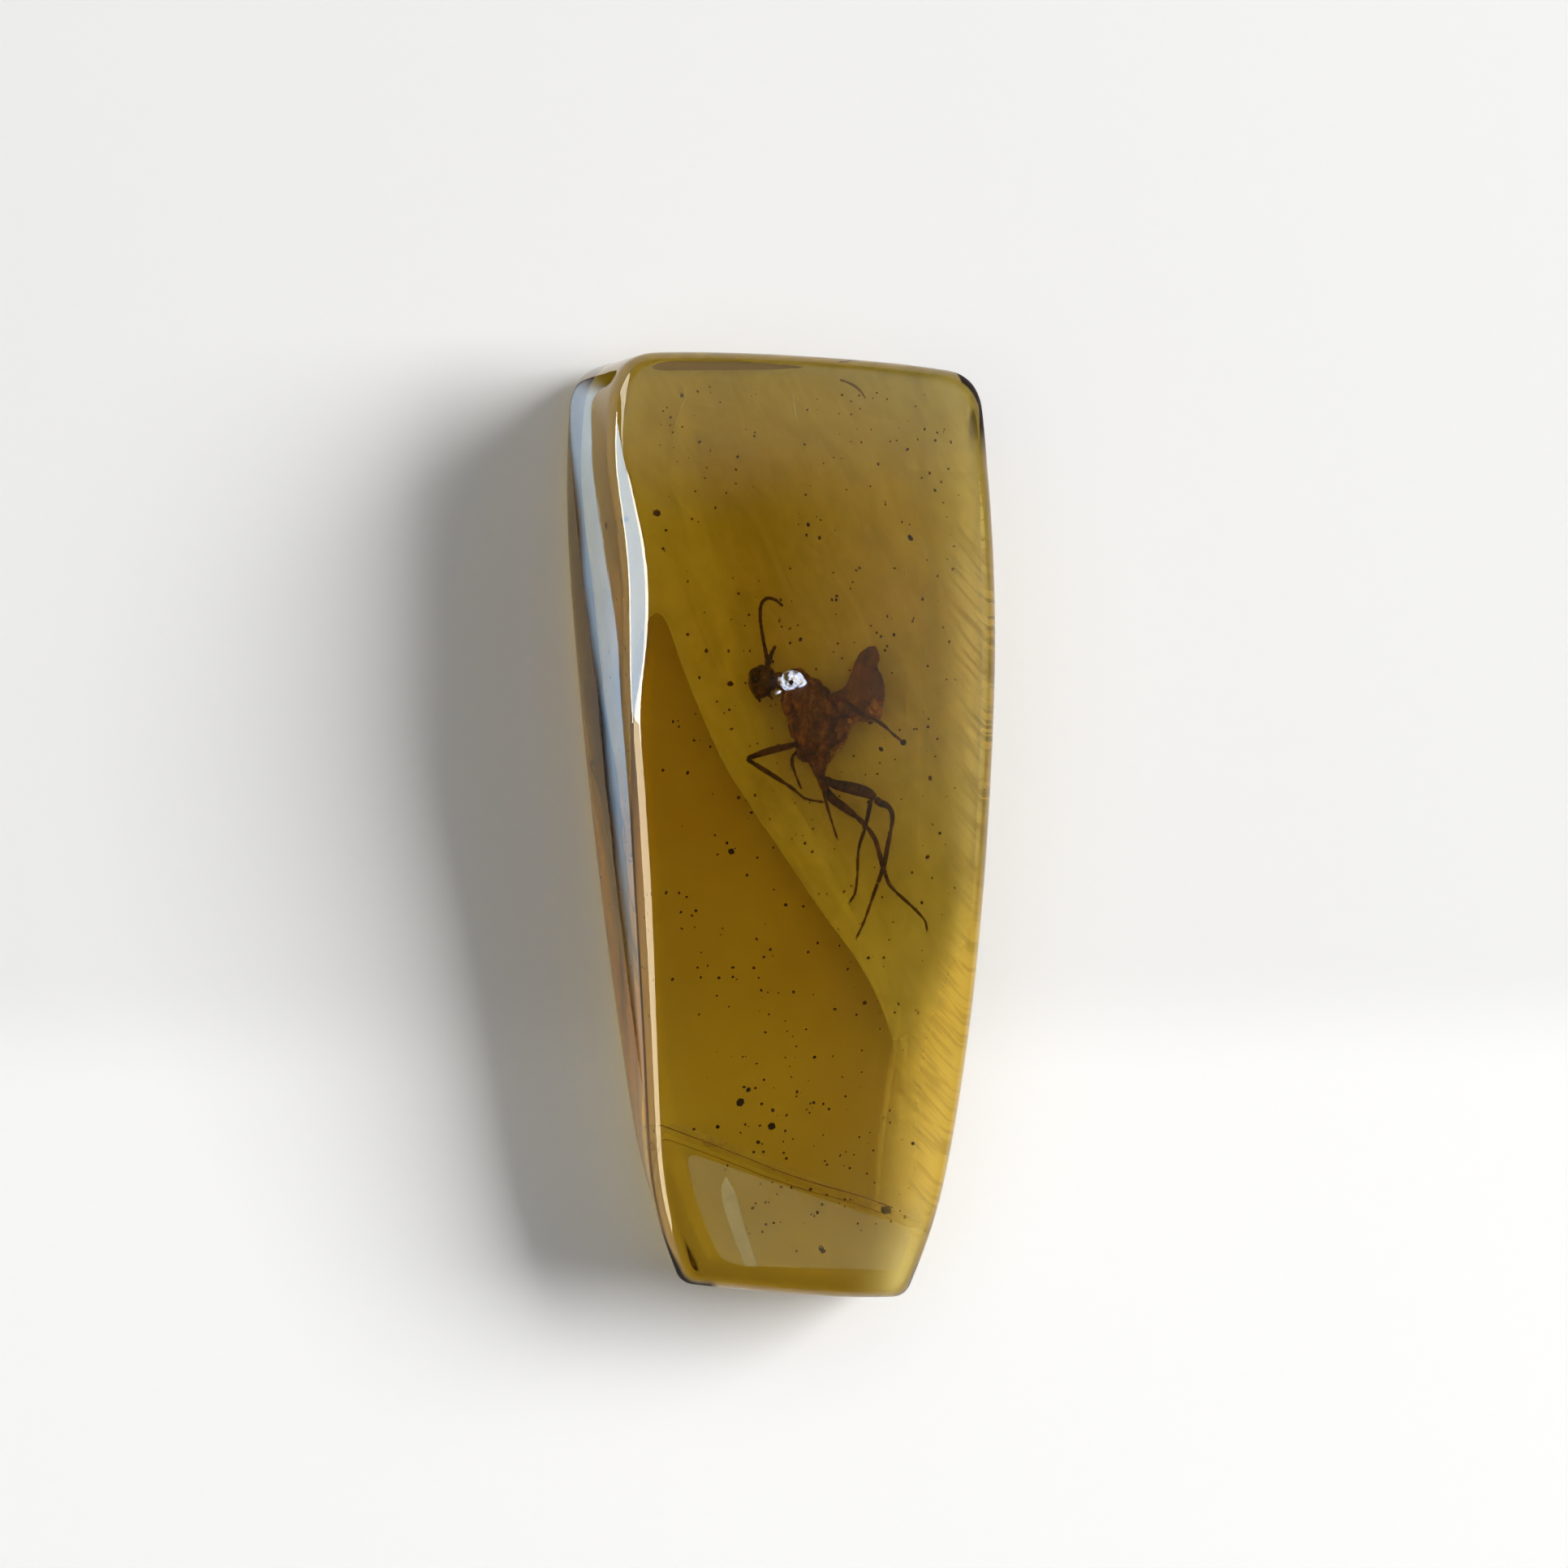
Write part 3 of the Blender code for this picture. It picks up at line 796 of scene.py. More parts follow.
@dataclass(frozen=True)
class GasSkin(Finish):
    """The mirror-bright skin of a gas bubble, with a painted glow in its bright blotches."""

    name: str = "gas_skin"
    bright: Colour = (0.96, 0.97, 1.0)
    dull: Colour = (0.50, 0.52, 0.52)
    # strength of the painted glow, though the bubble is no lamp
    glow: float = 0.9

    def write(self, recipe: Recipe) -> None:
        """Silver with grey blotches and a crumpled relief; the silver blotches glow as painted
        glints.
        """
        where = recipe.millimetres()
        blotches = recipe.noise(where, 3.4, 4.0, 0.6, 0.4)
        share = blotches.step(0.40, 0.56)
        colour = recipe.mix(share, self.dull, self.bright)
        # painted glints: the silver blotches glow blue-white and the grey ones barely glow
        shine = recipe.mix(share, (0.03, 0.04, 0.09), (0.92, 1.35, 6.0))
        relief = recipe.noise(where, 7.0, 3.0)
        shader = recipe.principled(
            Base_Color=colour, Metallic=1.0, Roughness=blotches * 0.25 + 0.10,
            Emission_Color=shine, Emission_Strength=self.glow,
            Normal=recipe.bump(relief, 0.05))
        recipe.surface(shader)


@dataclass(frozen=True)
class Grit(Finish):
    """Debris: crumbs of bark, soil and gas."""

    name: str = "dark_grit"
    dark: Colour = (0.010, 0.006, 0.004)
    light: Colour = (0.09, 0.035, 0.012)

    def write(self, recipe: Recipe) -> None:
        """Two browns that change from crumb to crumb, with a crumbly relief."""
        where = recipe.millimetres()
        tone = recipe.noise(where, 1.3, 2.0)
        crumbs = recipe.noise(where, 30.0, 4.0)
        colour = recipe.mix(tone.step(0.40, 0.65), self.dark, self.light)
        shader = recipe.principled(
            Base_Color=colour, Roughness=crumbs * 0.3 + 0.55,
            Normal=recipe.bump(crumbs, 0.02))
        recipe.surface(shader)


@dataclass(frozen=True)
class Haze(Finish):
    """A faint layer in the resin that scatters a little light, and can glow by itself as painted
    light.
    """

    name: str = "haze"
    tint: Colour = (0.95, 0.93, 0.86)
    solid: float = 0.08                            # how much of the light it stops
    grain: float = 0.35
    patchy: float = 0.5
    fades: tuple[tuple[float, float, float, float], ...] = ()   # shares of X and Y, from, to
    streaks: float = 0.0                           # how strong slanting marks are
    mark: Colour = (0.20, 0.09, 0.012)
    glow: float = 0.0                              # painted glow: how strongly it shines by itself

    def write(self, recipe: Recipe) -> None:
        """A thin cloud whose strength drifts from place to place."""
        where = recipe.millimetres()
        drift = recipe.noise(where, self.grain, 4.0, 0.55, 0.5)
        wisps = recipe.noise(recipe.millimetres((1.8, 0.5, 1.0), 28.0), 0.8, 4.0, 0.6, 0.8)
        share = drift.step(0.30, 0.70) * 0.6 + wisps.step(0.35, 0.70) * 0.4
        solid = (share * self.patchy + (1.0 - self.patchy)) * self.solid
        for east, north, first, last in self.fades:
            along = recipe.axis(where, "X") * east + recipe.axis(where, "Y") * north
            solid = solid * along.step(first, last)
        colour = recipe.mix(wisps, self.tint, tuple(part * 0.9 for part in self.tint))
        if self.streaks:
            fine = recipe.noise(recipe.millimetres((0.55, 7.0, 0.6), -46.0), 1.0, 2.0, 0.5, 0.3)
            colour = recipe.mix(fine.step(0.46, 0.60) * self.streaks, colour, self.mark)
        # the emission is a painted glow, not a lamp
        shader = recipe.principled(
            Base_Color=colour, Roughness=wisps * 0.2 + 0.7, Specular_IOR_Level=0.0,
            Emission_Color=colour, Emission_Strength=self.glow,
            Alpha=solid, Normal=recipe.bump(drift, 0.02))
        recipe.surface(shader)


@dataclass(frozen=True)
class PaleFloor(Finish):
    """The matt, nearly white floor that the tablet lies on."""

    name: str = "pale_floor"
    far: Colour = (0.84, 0.84, 0.84)
    near: Colour = (0.935, 0.935, 0.935)

    def write(self, recipe: Recipe) -> None:
        """A pale ground that grows slightly lighter towards the near side."""
        where = recipe.millimetres()
        depth = recipe.axis(where, "Y").step(-8.0, -4.0)
        grain = recipe.noise(where, 3.0, 3.0)
        colour = recipe.mix(depth, self.near, self.far)
        shader = recipe.principled(Base_Color=colour, Roughness=grain * 0.1 + 0.85,
                                   Specular_IOR_Level=0.1)
        recipe.surface(shader)


# ------------------------------------------------------------------------------ the resin
@dataclass(frozen=True)
class Facet:
    """A flat ground on the right edge of the back."""

    inner: Plan                                    # a point of the edge where it begins
    heading: float                                 # of that edge, anticlockwise from +Y
    rise: float                                    # of the flat, outwards

    def plane(self) -> tuple[Place, Place]:
        """A point of the flat, and the direction that faces away from the tablet."""
        heading, rise = math.radians(self.heading), math.radians(self.rise)
        out = (math.cos(heading), math.sin(heading))
        normal = (out[0] * math.sin(rise), out[1] * math.sin(rise), -math.cos(rise))
        return (*self.inner, 0.0), normal


@dataclass
class Tablet:
    """The clear resin: one closed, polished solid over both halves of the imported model."""

    corner_wide_left: Plan = (-5.95, 13.87)
    corner_wide_right: Plan = (5.85, 13.55)
    corner_narrow_left: Plan = (-2.55, -13.30)
    corner_narrow_right: Plan = (3.75, -13.97)
    left_between: Table = ((-6.09, 10.30), (-5.97, 7.40), (-5.57, 2.90), (-5.03, -1.95),
                           (-4.36, -6.85), (-3.68, -10.60))
    narrow_between: Table = ((-0.30, -13.63), (2.00, -13.90))
    right_between: Table = ((4.60, -11.90), (5.17, -9.20), (5.72, -4.50), (5.97, 1.50),
                            (5.99, 8.00))
    wide_between: Table = ((3.00, 13.80), (-1.90, 13.95))
    side_steps: int = 15
    end_steps: int = 6
    corner_steps: int = 6
    corner_cuts: tuple[float, ...] = (0.35, 0.42, 1.15, 1.45)    # at the end of each side

    front_heights: Table = ((-13.80, 3.95), (-9.20, 4.40), (-4.30, 5.05), (0.50, 5.80),
                            (5.50, 6.35), (9.00, 6.05), (14.00, 4.90))
    front_tilt: float = 0.115
    front_dome: float = 0.25
    dome_half_width: float = 5.5

    belly: Table = ((1.00, 0.00), (0.72, 0.00), (0.38, 0.08), (0.11, 0.34), (-0.03, 0.72),
                    (-0.02, 1.10))
    left_lean: Table = ((-13.80, -0.72), (-11.50, -0.58), (-8.50, -0.24), (-5.50, 0.00),
                        (-3.10, 0.13), (-0.70, 0.21), (1.70, 0.27), (4.20, 0.26),
                        (6.30, 0.52), (7.80, 0.59), (9.20, 0.48), (11.20, 0.22),
                        (12.40, 0.36), (13.20, 0.48))
    plain_lean: float = 0.02
    left_rim_width: Table = ((-13.80, 0.32), (-5.50, 0.38), (-2.00, 0.50), (3.80, 0.50),
                             (5.40, 1.00), (6.30, 1.18), (7.80, 1.05), (9.20, 0.88),
                             (11.20, 0.55), (13.00, 0.50))
    left_rim_depth: float = 0.80
    plain_rim: Plan = (0.38, 0.55)                 # width and depth
    wall_steps: int = 3
    rim_steps: int = 5
    support: float = 0.40                          # how far inside the rim the front begins
    facets: tuple[Facet, ...] = (Facet((4.75, 5.00), 3.0, 32.0),
                                 Facet((3.25, -9.30), -16.0, 24.0))
    facet_angle: float = 18.0                      # edges sharper than this stay crisp

    def __post_init__(self) -> None:
        """Put the four sides together from their corners."""
        self.left_side = (self.corner_wide_left, *self.left_between, self.corner_narrow_left)
        self.narrow_end = (self.corner_narrow_left, *self.narrow_between,
                           self.corner_narrow_right)
        self.right_side = (self.corner_narrow_right, *self.right_between,
                           self.corner_wide_right)
        self.wide_end = (self.corner_wide_right, *self.wide_between, self.corner_wide_left)

    def outline(self) -> list[Vector]:
        """The plan outline, anticlockwise from the wide end's left corner.

        Returns:
            Its points.
        """
        sides = [(self.left_side, self.side_steps), (self.narrow_end, self.end_steps),
                 (self.right_side, self.side_steps), (self.wide_end, self.end_steps)]
        paths = [Path(points) for points, _ in sides]
        outline = []
        for index, (points, steps) in enumerate(sides):
            path = paths[index]
            following = paths[(index + 1) % len(sides)]
            first = self.corner_cuts[index - 1] / path.length
            last = 1.0 - self.corner_cuts[index] / path.length
            for step in range(steps + 1):
                outline.append(Vector(path.at(first + (last - first) * step / steps)))
            corner = Vector(points[-1])
            start = outline[-1]
            end = Vector(following.at(self.corner_cuts[index] / following.length))
            for step in range(1, self.corner_steps):
                t = step / self.corner_steps
                outline.append((1 - t) ** 2 * start + 2 * t * (1 - t) * corner + t * t * end)
        return outline

    def side_position(self, side: Sequence[Plan], y: float) -> float:
        """Where a long side runs, as x at a given y."""
        return smooth_value(sorted((point[1], point[0]) for point in side), y)

    def front_height(self, x: float, y: float) -> float:
        """Height of the polished front over a plan point."""
        dome = self.front_dome * (1 - (x / self.dome_half_width) ** 2)
        return smooth_value(self.front_heights, y) - self.front_tilt * x + dome

    def inset(self, point: Vector, left: float, plain: float) -> Plan:
        """Move an outline point inwards, so that corners keep their shape.

        Args:
            point: A point of the outline.
            left: How far in at the left side.
            plain: How far in at the other sides.

        Returns:
            The moved point.
        """
        low = self.corner_narrow_right[1]
        high = self.wide_between[1][1]
        left_x = self.side_position(self.left_side, point.y)
        right_x = self.side_position(self.right_side, point.y)
        across = min(max((point.x - left_x) / (right_x - left_x), 0.0), 1.0)
        along = min(max((point.y - low) / (high - low), 0.0), 1.0)
        x = point.x + left * (1 - across) - plain * across
        return x, point.y + plain * (1 - 2 * along)

    def rings(self, outline: Sequence[Vector]) -> list[list[Vector]]:
        """Rings of the wall, from inside the flat back up to inside the front's rim.

        Args:
            outline: The plan outline.

        Returns:
            The rings, each with as many places as the outline.
        """
        rings = []
        for inset, height in self.belly:
            rings.append([Vector((*self.inset(point, inset, inset), height))
                          for point in outline])
        girdle = self.belly[-1][1]
        for step in range(1, self.wall_steps):
            rings.append(self._wall_ring(outline, step / self.wall_steps, girdle))
        for step in range(self.rim_steps + 1):
            rings.append(self._rim_ring(outline, 90.0 * step / self.rim_steps, 0.0))
        rings.append(self._rim_ring(outline, 90.0, self.support))
        return rings

    def _wall_ring(self, outline: Sequence[Vector], share: float,
                   girdle: float) -> list[Vector]:
        """A ring part of the way up the wall.

        Args:
            outline: The plan outline.
            share: How far up it is.
            girdle: Height of the wall's foot.

        Returns:
            The ring.
        """
        foot = [Vector((point.x, point.y, girdle)) for point in outline]
        return [a.lerp(b, share) for a, b in zip(foot, self._rim_ring(outline, 0.0, 0.0))]

    def _rim_ring(self, outline: Sequence[Vector], angle: float,
                  further: float) -> list[Vector]:
        """A ring on the rounded rim.

        Args:
            outline: The plan outline.
            angle: How far round the rim it is, from 0 at the wall to 90 at the front.
            further: How much further in it lies.

        Returns:
            The ring.
        """
        turn = math.radians(angle)
        ring = []
        for point, share in zip(outline, self._leftness(outline)):
            left = (smooth_value(self.left_lean, point.y) + further
                    + smooth_value(self.left_rim_width, point.y) * (1 - math.cos(turn)))
            plain = self.plain_lean + further + self.plain_rim[0] * (1 - math.cos(turn))
            x, y = self.inset(point, left, plain)
            depth = share * self.left_rim_depth + (1 - share) * self.plain_rim[1]
            ring.append(Vector((x, y, self.front_height(x, y) - depth * (1 - math.sin(turn)))))
        return ring

    def _leftness(self, outline: Sequence[Vector]) -> list[float]:
        """How much each outline point belongs to the left side: 1 on it and 0 off it.

        Args:
            outline: The plan outline.

        Returns:
            A share for each point.
        """
        count = len(outline)
        shares = []
        for i in range(count):
            along = outline[(i + 1) % count] - outline[i - 1]
            shares.append(max(0.0, -along.y / along.length) ** 2)
        return shares

    def build(self, finish: Resin) -> bpy.types.Object:
        """Raise the wall ring by ring, close it, smooth it and grind the back's right edge.

        Args:
            finish: The resin's finish.

        Returns:
            The finished piece.
        """
        outline = self.outline()
        rings = self.rings(outline)
        corner = self.side_steps + self.corner_steps // 2
        span = self.end_steps + self.corner_steps
        work = Workpiece.ring("amber", len(outline), self.dome_half_width, (0.0, 0.0, 0.0))
        work.open()
        bottom = work.settle_ring(rings[0])
        top = bottom
        for places in rings[1:]:
            top = work.extrude_ring(top, places)
        crown = work.cap_ring(top, corner, span)
        mesh = work.edit_mesh()
        places = {number: mesh.verts[number].co.copy() for number in crown}
        work.move_to({number: Vector((at.x, at.y, self.front_height(at.x, at.y)))
                      for number, at in places.items()})
        work.cap_ring(bottom, corner, span)
        work.close()
        work.modify("SUBSURF", levels=2, render_levels=2)
        for facet in self.facets:
            work.slice_off(*facet.plane())
        return work.hand_over(finish.make(), Slot.AMBER, self.facet_angle,
                              ("amber_front_half", "amber_back_half"))


# ------------------------------------------------------------------------------ the insect
@dataclass(frozen=True)
class Limb:
    """A leg or feeler: a tapering body through its places, narrowed at its joints."""

    name: str
    places: tuple[Station, ...]                    # x, y, height above the level, radius
    joints: tuple[float, ...] = ()                 # shares of the length
    beads: int = 0                                 # short members along all of it
    claws: bool = False
    step: float = 0.10                             # between stations of the skeleton
    stout: float = 1.22
    joint_width: float = 0.09                      # of each narrow place
    joint_depth: float = 0.38                      # how much of the radius it takes away

    def shape(self) -> Workpiece:
        """Model it.

        Returns:
            Its body, with its claws.
        """
        path = Path(self.places)
        step = min(self.step, path.length / (self.beads * 4)) if self.beads else self.step
        stations = path.every(step)
        spots = [over_level(station) for station in stations]
        radii = [station[3] * self.stout * self._swelling(i / (len(stations) - 1), path.length)
                 for i, station in enumerate(stations)]
        work = Workpiece.chain(self.name, spots)
        work.skin(radii, 2)
        if self.claws:
            work.absorb(self._claws(spots[-1], spots[-2], radii[-1]))
        return work

    def _swelling(self, share: float, length: float) -> float:
        """How thick it is at a share of its length, against its plain radius.

        Args:
            share: Where.
            length: Its whole length.

        Returns:
            A factor.
        """
        factor = 1.0
        for joint in self.joints:
            away = (share - joint) * length / self.joint_width
            factor *= 1.0 - self.joint_depth * math.exp(-away * away)
        if self.beads:
            within = (share * self.beads) % 1.0
            factor *= 0.80 + 0.30 * math.sin(math.pi * min(within, 0.999)) ** 0.7
        return factor

    def _claws(self, tip: Place, before: Place, radius: float) -> list[Workpiece]:
        """Two hooks at the end.

        Args:
            tip: Where the limb ends.
            before: A place just before the end.
            radius: Of the limb there.

        Returns:
            The hooks.
        """
        ahead = (Vector(tip) - Vector(before)).normalized()
        hooks = []
        for side in (-1, 1):
            aside = Vector((-ahead.y, ahead.x, 0.0)) * side
            bend = Vector(tip) + ahead * 0.05 + aside * 0.035
            end = bend + ahead * 0.035 + Vector((0.0, 0.0, -0.03))
            hook = Workpiece.chain(f"{self.name}_claw", [tip, tuple(bend), tuple(end)])
            hook.skin([radius * 0.55, radius * 0.40, radius * 0.12], 2)
            hooks.append(hook)
        return hooks


LEGS = (
    Limb("fore_femur", ((0.50, 2.85, 0.10, 0.12), (-0.04, 2.66, 0.12, 0.09),
                        (-0.70, 2.50, 0.12, 0.095), (-1.36, 2.28, 0.10, 0.06)), (0.25,)),
    Limb("fore_tibia", ((-1.38, 2.27, 0.10, 0.05), (-0.76, 1.89, 0.06, 0.065),
                        (-0.02, 1.42, 0.02, 0.05), (0.40, 1.10, 0.00, 0.04),
                        (0.94, 0.99, -0.02, 0.035)), (0.52, 0.68, 0.80, 0.90), claws=True),
    Limb("middle_femur", ((0.45, 2.60, -0.08, 0.09), (0.02, 2.38, -0.10, 0.055),
                          (0.00, 2.12, -0.10, 0.05), (0.12, 1.76, -0.08, 0.04),
                          (0.29, 1.37, -0.06, 0.03)), (0.30, 0.72)),
    Limb("middle_tibia", ((0.90, 1.70, 0.00, 0.08), (1.02, 1.02, 0.04, 0.055),
                          (1.13, 0.62, 0.06, 0.04), (1.37, -0.08, 0.06, 0.03)),
         (0.40, 0.62, 0.80), claws=True),
    Limb("hind_femur", ((0.93, 1.66, 0.05, 0.10), (1.30, 1.50, 0.08, 0.13),
                        (1.90, 1.36, 0.10, 0.165), (2.30, 1.23, 0.10, 0.14),
                        (2.52, 1.08, 0.10, 0.09))),
    Limb("hind_tibia", ((2.50, 1.08, 0.10, 0.085), (2.66, 0.94, 0.10, 0.105),
                        (2.88, 0.86, 0.10, 0.10), (3.03, 0.62, 0.08, 0.07),
                        (3.02, 0.30, 0.06, 0.06), (2.90, -0.39, 0.04, 0.065),
                        (2.80, -0.95, 0.02, 0.07), (2.64, -1.43, 0.00, 0.055)), (0.19, 0.42)),
    Limb("hind_tarsus", ((2.64, -1.42, 0.00, 0.055), (2.41, -2.08, 0.00, 0.045),
                         (2.22, -2.64, 0.00, 0.040), (2.03, -3.05, 0.02, 0.032)),
         (0.35, 0.62, 0.82), claws=True),
    Limb("other_hind_leg", ((0.93, 1.50, -0.08, 0.10), (1.20, 1.12, -0.10, 0.12),
                            (1.60, 0.82, -0.10, 0.11), (2.00, 0.52, -0.10, 0.08),
                            (2.30, 0.22, -0.10, 0.07), (2.54, -0.14, -0.08, 0.065),
                            (2.68, -0.58, -0.06, 0.065), (2.86, -1.16, -0.06, 0.07)),
         (0.42, 0.55)),
    Limb("other_hind_tarsus", ((2.86, -1.14, -0.06, 0.06), (3.02, -1.50, -0.08, 0.05),
                               (3.76, -2.18, -0.12, 0.042), (4.14, -2.58, -0.14, 0.036),
                               (4.21, -2.87, -0.14, 0.030)), (0.30, 0.60, 0.82), claws=True),
    Limb("trailing_leg", ((2.40, 1.10, -0.05, 0.06), (2.23, 0.22, -0.10, 0.055),
                          (2.05, -0.40, -0.12, 0.045), (2.02, -1.22, -0.12, 0.04),
                          (1.96, -1.72, -0.10, 0.035), (1.81, -1.97, -0.10, 0.03)),
         (0.28, 0.50, 0.72), claws=True),
)
FEELERS = (
    Limb("antenna_long", ((-0.80, 4.75, 0.05, 0.065), (-0.81, 5.10, 0.10, 0.055),
                          (-0.91, 5.57, 0.14, 0.046), (-0.99, 6.06, 0.16, 0.046),
                          (-1.00, 6.42, 0.16, 0.046), (-0.93, 6.63, 0.16, 0.046),
                          (-0.79, 6.73, 0.15, 0.044), (-0.57, 6.69, 0.13, 0.040),
                          (-0.32, 6.52, 0.10, 0.030)), beads=16),
    Limb("antenna_short", ((-0.78, 4.80, -0.05, 0.065), (-0.66, 5.20, -0.12, 0.055),
                           (-0.52, 5.46, -0.16, 0.042)), beads=5),
    Limb("palp_left", ((-0.80, 4.30, 0.00, 0.07), (-0.72, 4.08, 0.02, 0.045),
                       (-0.60, 3.98, 0.02, 0.025)), beads=4),
    Limb("palp_right", ((-0.95, 4.22, 0.00, 0.06), (-1.02, 4.02, -0.02, 0.04),
                        (-0.98, 3.90, -0.02, 0.02)), beads=4),
)


@dataclass(frozen=True)
class Lobe:
    """One rounded plate or blister."""

    centre: Place                                  # height is above the insect's level
    axes: Place
    turn: float = 0.0

    def ball(self, name: str, segments: int = 24, rings: int = 16) -> Workpiece:
        """An ellipsoid of its shape."""
        return Workpiece.ball(name, over_level(self.centre), self.axes, self.turn, segments,
                              rings)


@dataclass
class Trunk:
    """The insect's middle body: fused, wrinkled plates from the neck to the waist."""

    lobes: tuple[Lobe, ...] = (
        Lobe((-0.42, 4.50, 0.02), (0.30, 0.22, 0.22)),
        Lobe((0.10, 4.38, 0.06), (0.46, 0.46, 0.42), -40.0),
        Lobe((0.50, 3.95, 0.10), (0.66, 0.60, 0.60), -35.0),
        Lobe((0.72, 3.50, 0.12), (0.66, 0.70, 0.58)),
        Lobe((0.66, 3.00, 0.06), (0.62, 0.62, 0.52)),
        Lobe((0.74, 2.55, 0.04), (0.44, 0.52, 0.42)),
        Lobe((0.80, 2.12, 0.02), (0.27, 0.42, 0.28)),
        Lobe((0.88, 1.72, 0.00), (0.15, 0.40, 0.15)),
        Lobe((-0.12, 3.85, -0.05), (0.24, 0.40, 0.34), 15.0),
        Lobe((0.06, 3.20, 0.14), (0.24, 0.42, 0.24), 12.0),
        Lobe((0.30, 2.58, -0.06), (0.22, 0.42, 0.24), 18.0),
        Lobe((1.30, 3.78, 0.08), (0.52, 0.34, 0.28), -8.0),
        Lobe((1.28, 3.10, 0.02), (0.34, 0.52, 0.24), -14.0),
    )
    voxel: float = 0.035

    def build(self, finish: Chitin) -> bpy.types.Object:
        """Fuse the plates and wrinkle them.

        Args:
            finish: The skin's finish.

        Returns:
            The finished piece.
        """
        plates = [lobe.ball(f"plate_{number}") for number, lobe in enumerate(self.lobes)]
        trunk = fuse("trunk", plates, self.voxel, 3)
        trunk.rough_up("CLOUDS", 0.34, 0.16)
        trunk.rough_up("CLOUDS", 0.11, 0.05)
        trunk.modify("SMOOTH", factor=0.4, iterations=1)
        return trunk.hand_over(finish.make(), Slot.INSECT, stands_for=("insect",))


@dataclass
class Head:
    """The head with its two eyes and biting jaws."""

    capsule: Lobe = Lobe((-0.90, 4.48, 0.02), (0.44, 0.45, 0.40), 8.0)
    eyes: tuple[Lobe, ...] = (Lobe((-1.12, 4.60, 0.24), (0.19, 0.25, 0.17), 12.0),
                              Lobe((-1.12, 4.60, -0.22), (0.19, 0.25, 0.17), 12.0))
    jaws: tuple[tuple[Station, ...], ...] = (
        ((-1.10, 4.18, 0.10, 0.09), (-1.12, 4.04, 0.10, 0.06), (-1.02, 3.97, 0.06, 0.02)),
        ((-1.10, 4.18, -0.10, 0.09), (-1.12, 4.04, -0.10, 0.06), (-1.02, 3.97, -0.06, 0.02)),
    )
    ocelli: tuple[Lobe, ...] = tuple(
        Lobe(place, (0.04, 0.04, 0.035))
        for place in ((-0.74, 4.66, 0.36), (-0.66, 4.56, 0.38), (-0.70, 4.72, 0.28)))
    chin: float = 0.22                             # how far below the middle the face narrows
    nape: float = 0.30                             # and how far behind it the neck does

    def build(self, skin: Chitin, eye_finish: Chitin) -> list[bpy.types.Object]:
        """Model the head capsule and the eyes.

        Args:
            skin: Finish of the capsule.
            eye_finish: Finish of the eyes.

        Returns:
            The finished pieces.
        """
        x, y, z = over_level(self.capsule.centre)
        capsule = self.capsule.ball("head", 28, 20)
        capsule.open()
        capsule.pick(lambda place: place.y < y - self.chin)
        bpy.ops.transform.resize(value=(0.72, 1.0, 0.8), center_override=(x - 0.1, y, z))
        bpy.ops.transform.translate(value=(-0.06, -0.04, 0.0))
        capsule.pick(lambda place: place.x > x + self.nape)
        bpy.ops.transform.resize(value=(0.6, 1.0, 1.0), center_override=(x + self.nape, y, z))
        capsule.close()
        capsule = fuse("head", [capsule, *map(self._jaw, self.jaws)], 0.022, 2)
        capsule.rough_up("CLOUDS", 0.16, 0.045)
        pieces = [capsule.hand_over(skin.make(), Slot.INSECT)]

        eyes = [eye.ball(f"eye_{number}", 32, 24) for number, eye in enumerate(self.eyes)]
        eyes += [ocellus.ball(f"ocellus_{number}", 12, 8)
                 for number, ocellus in enumerate(self.ocelli)]
        eyes[0].absorb(eyes[1:])
        eyes[0].thing.name = "eyes"
        pieces.append(eyes[0].hand_over(eye_finish.make(), Slot.INSECT))
        return pieces

    @staticmethod
    def _jaw(jaw: Sequence[Station]) -> Workpiece:
        """One curved jaw."""
        work = Workpiece.chain("jaw", [over_level(station) for station in jaw])
        work.skin([station[3] for station in jaw], 2)
        return work


@dataclass(frozen=True)
class Membrane:
    """A thin sheet of wing: its plan outline, its height and how it is crumpled."""

    name: str
    outline: Table
    height: float                                  # above the insect's level
    thickness: float
    crumple: float
    rise: float = 0.0                              # how much it climbs for each mm along +Y

    def build(self, finish: Finish) -> bpy.types.Object:
        """Model it.

        Args:
            finish: Its finish.

        Returns:
            The finished piece.
        """
        path = Path((*self.outline, self.outline[0]))
        count = max(24, 2 * round(path.length / 0.16))
        middle_y = sum(point[1] for point in self.outline) / len(self.outline)
        rim = []
        for i in range(count):
            x, y = path.at(i / count)
            rim.append(Vector((x, y, INSECT_LEVEL + self.height
                               + (y - middle_y) * self.rise)))
        work = Workpiece.ring(self.name, count, 1.0, (0.0, 0.0, 0.0))
        work.open()
        work.settle_ring(rim)
        bpy.ops.mesh.edge_face_add()
        bpy.ops.mesh.quads_convert_to_tris(quad_method="BEAUTY", ngon_method="BEAUTY")
        bpy.ops.mesh.subdivide(number_cuts=3, smoothness=0.0)
        bpy.ops.mesh.beautify_fill()
        work.close()
        work.rough_up("CLOUDS", 0.45, self.crumple)
        work.rough_up("CLOUDS", 0.14, self.crumple * 0.35)
        work.modify("SOLIDIFY", thickness=self.thickness, offset=0.0, use_rim=True)
        return work.hand_over(finish.make(), Slot.INSECT, 60.0)


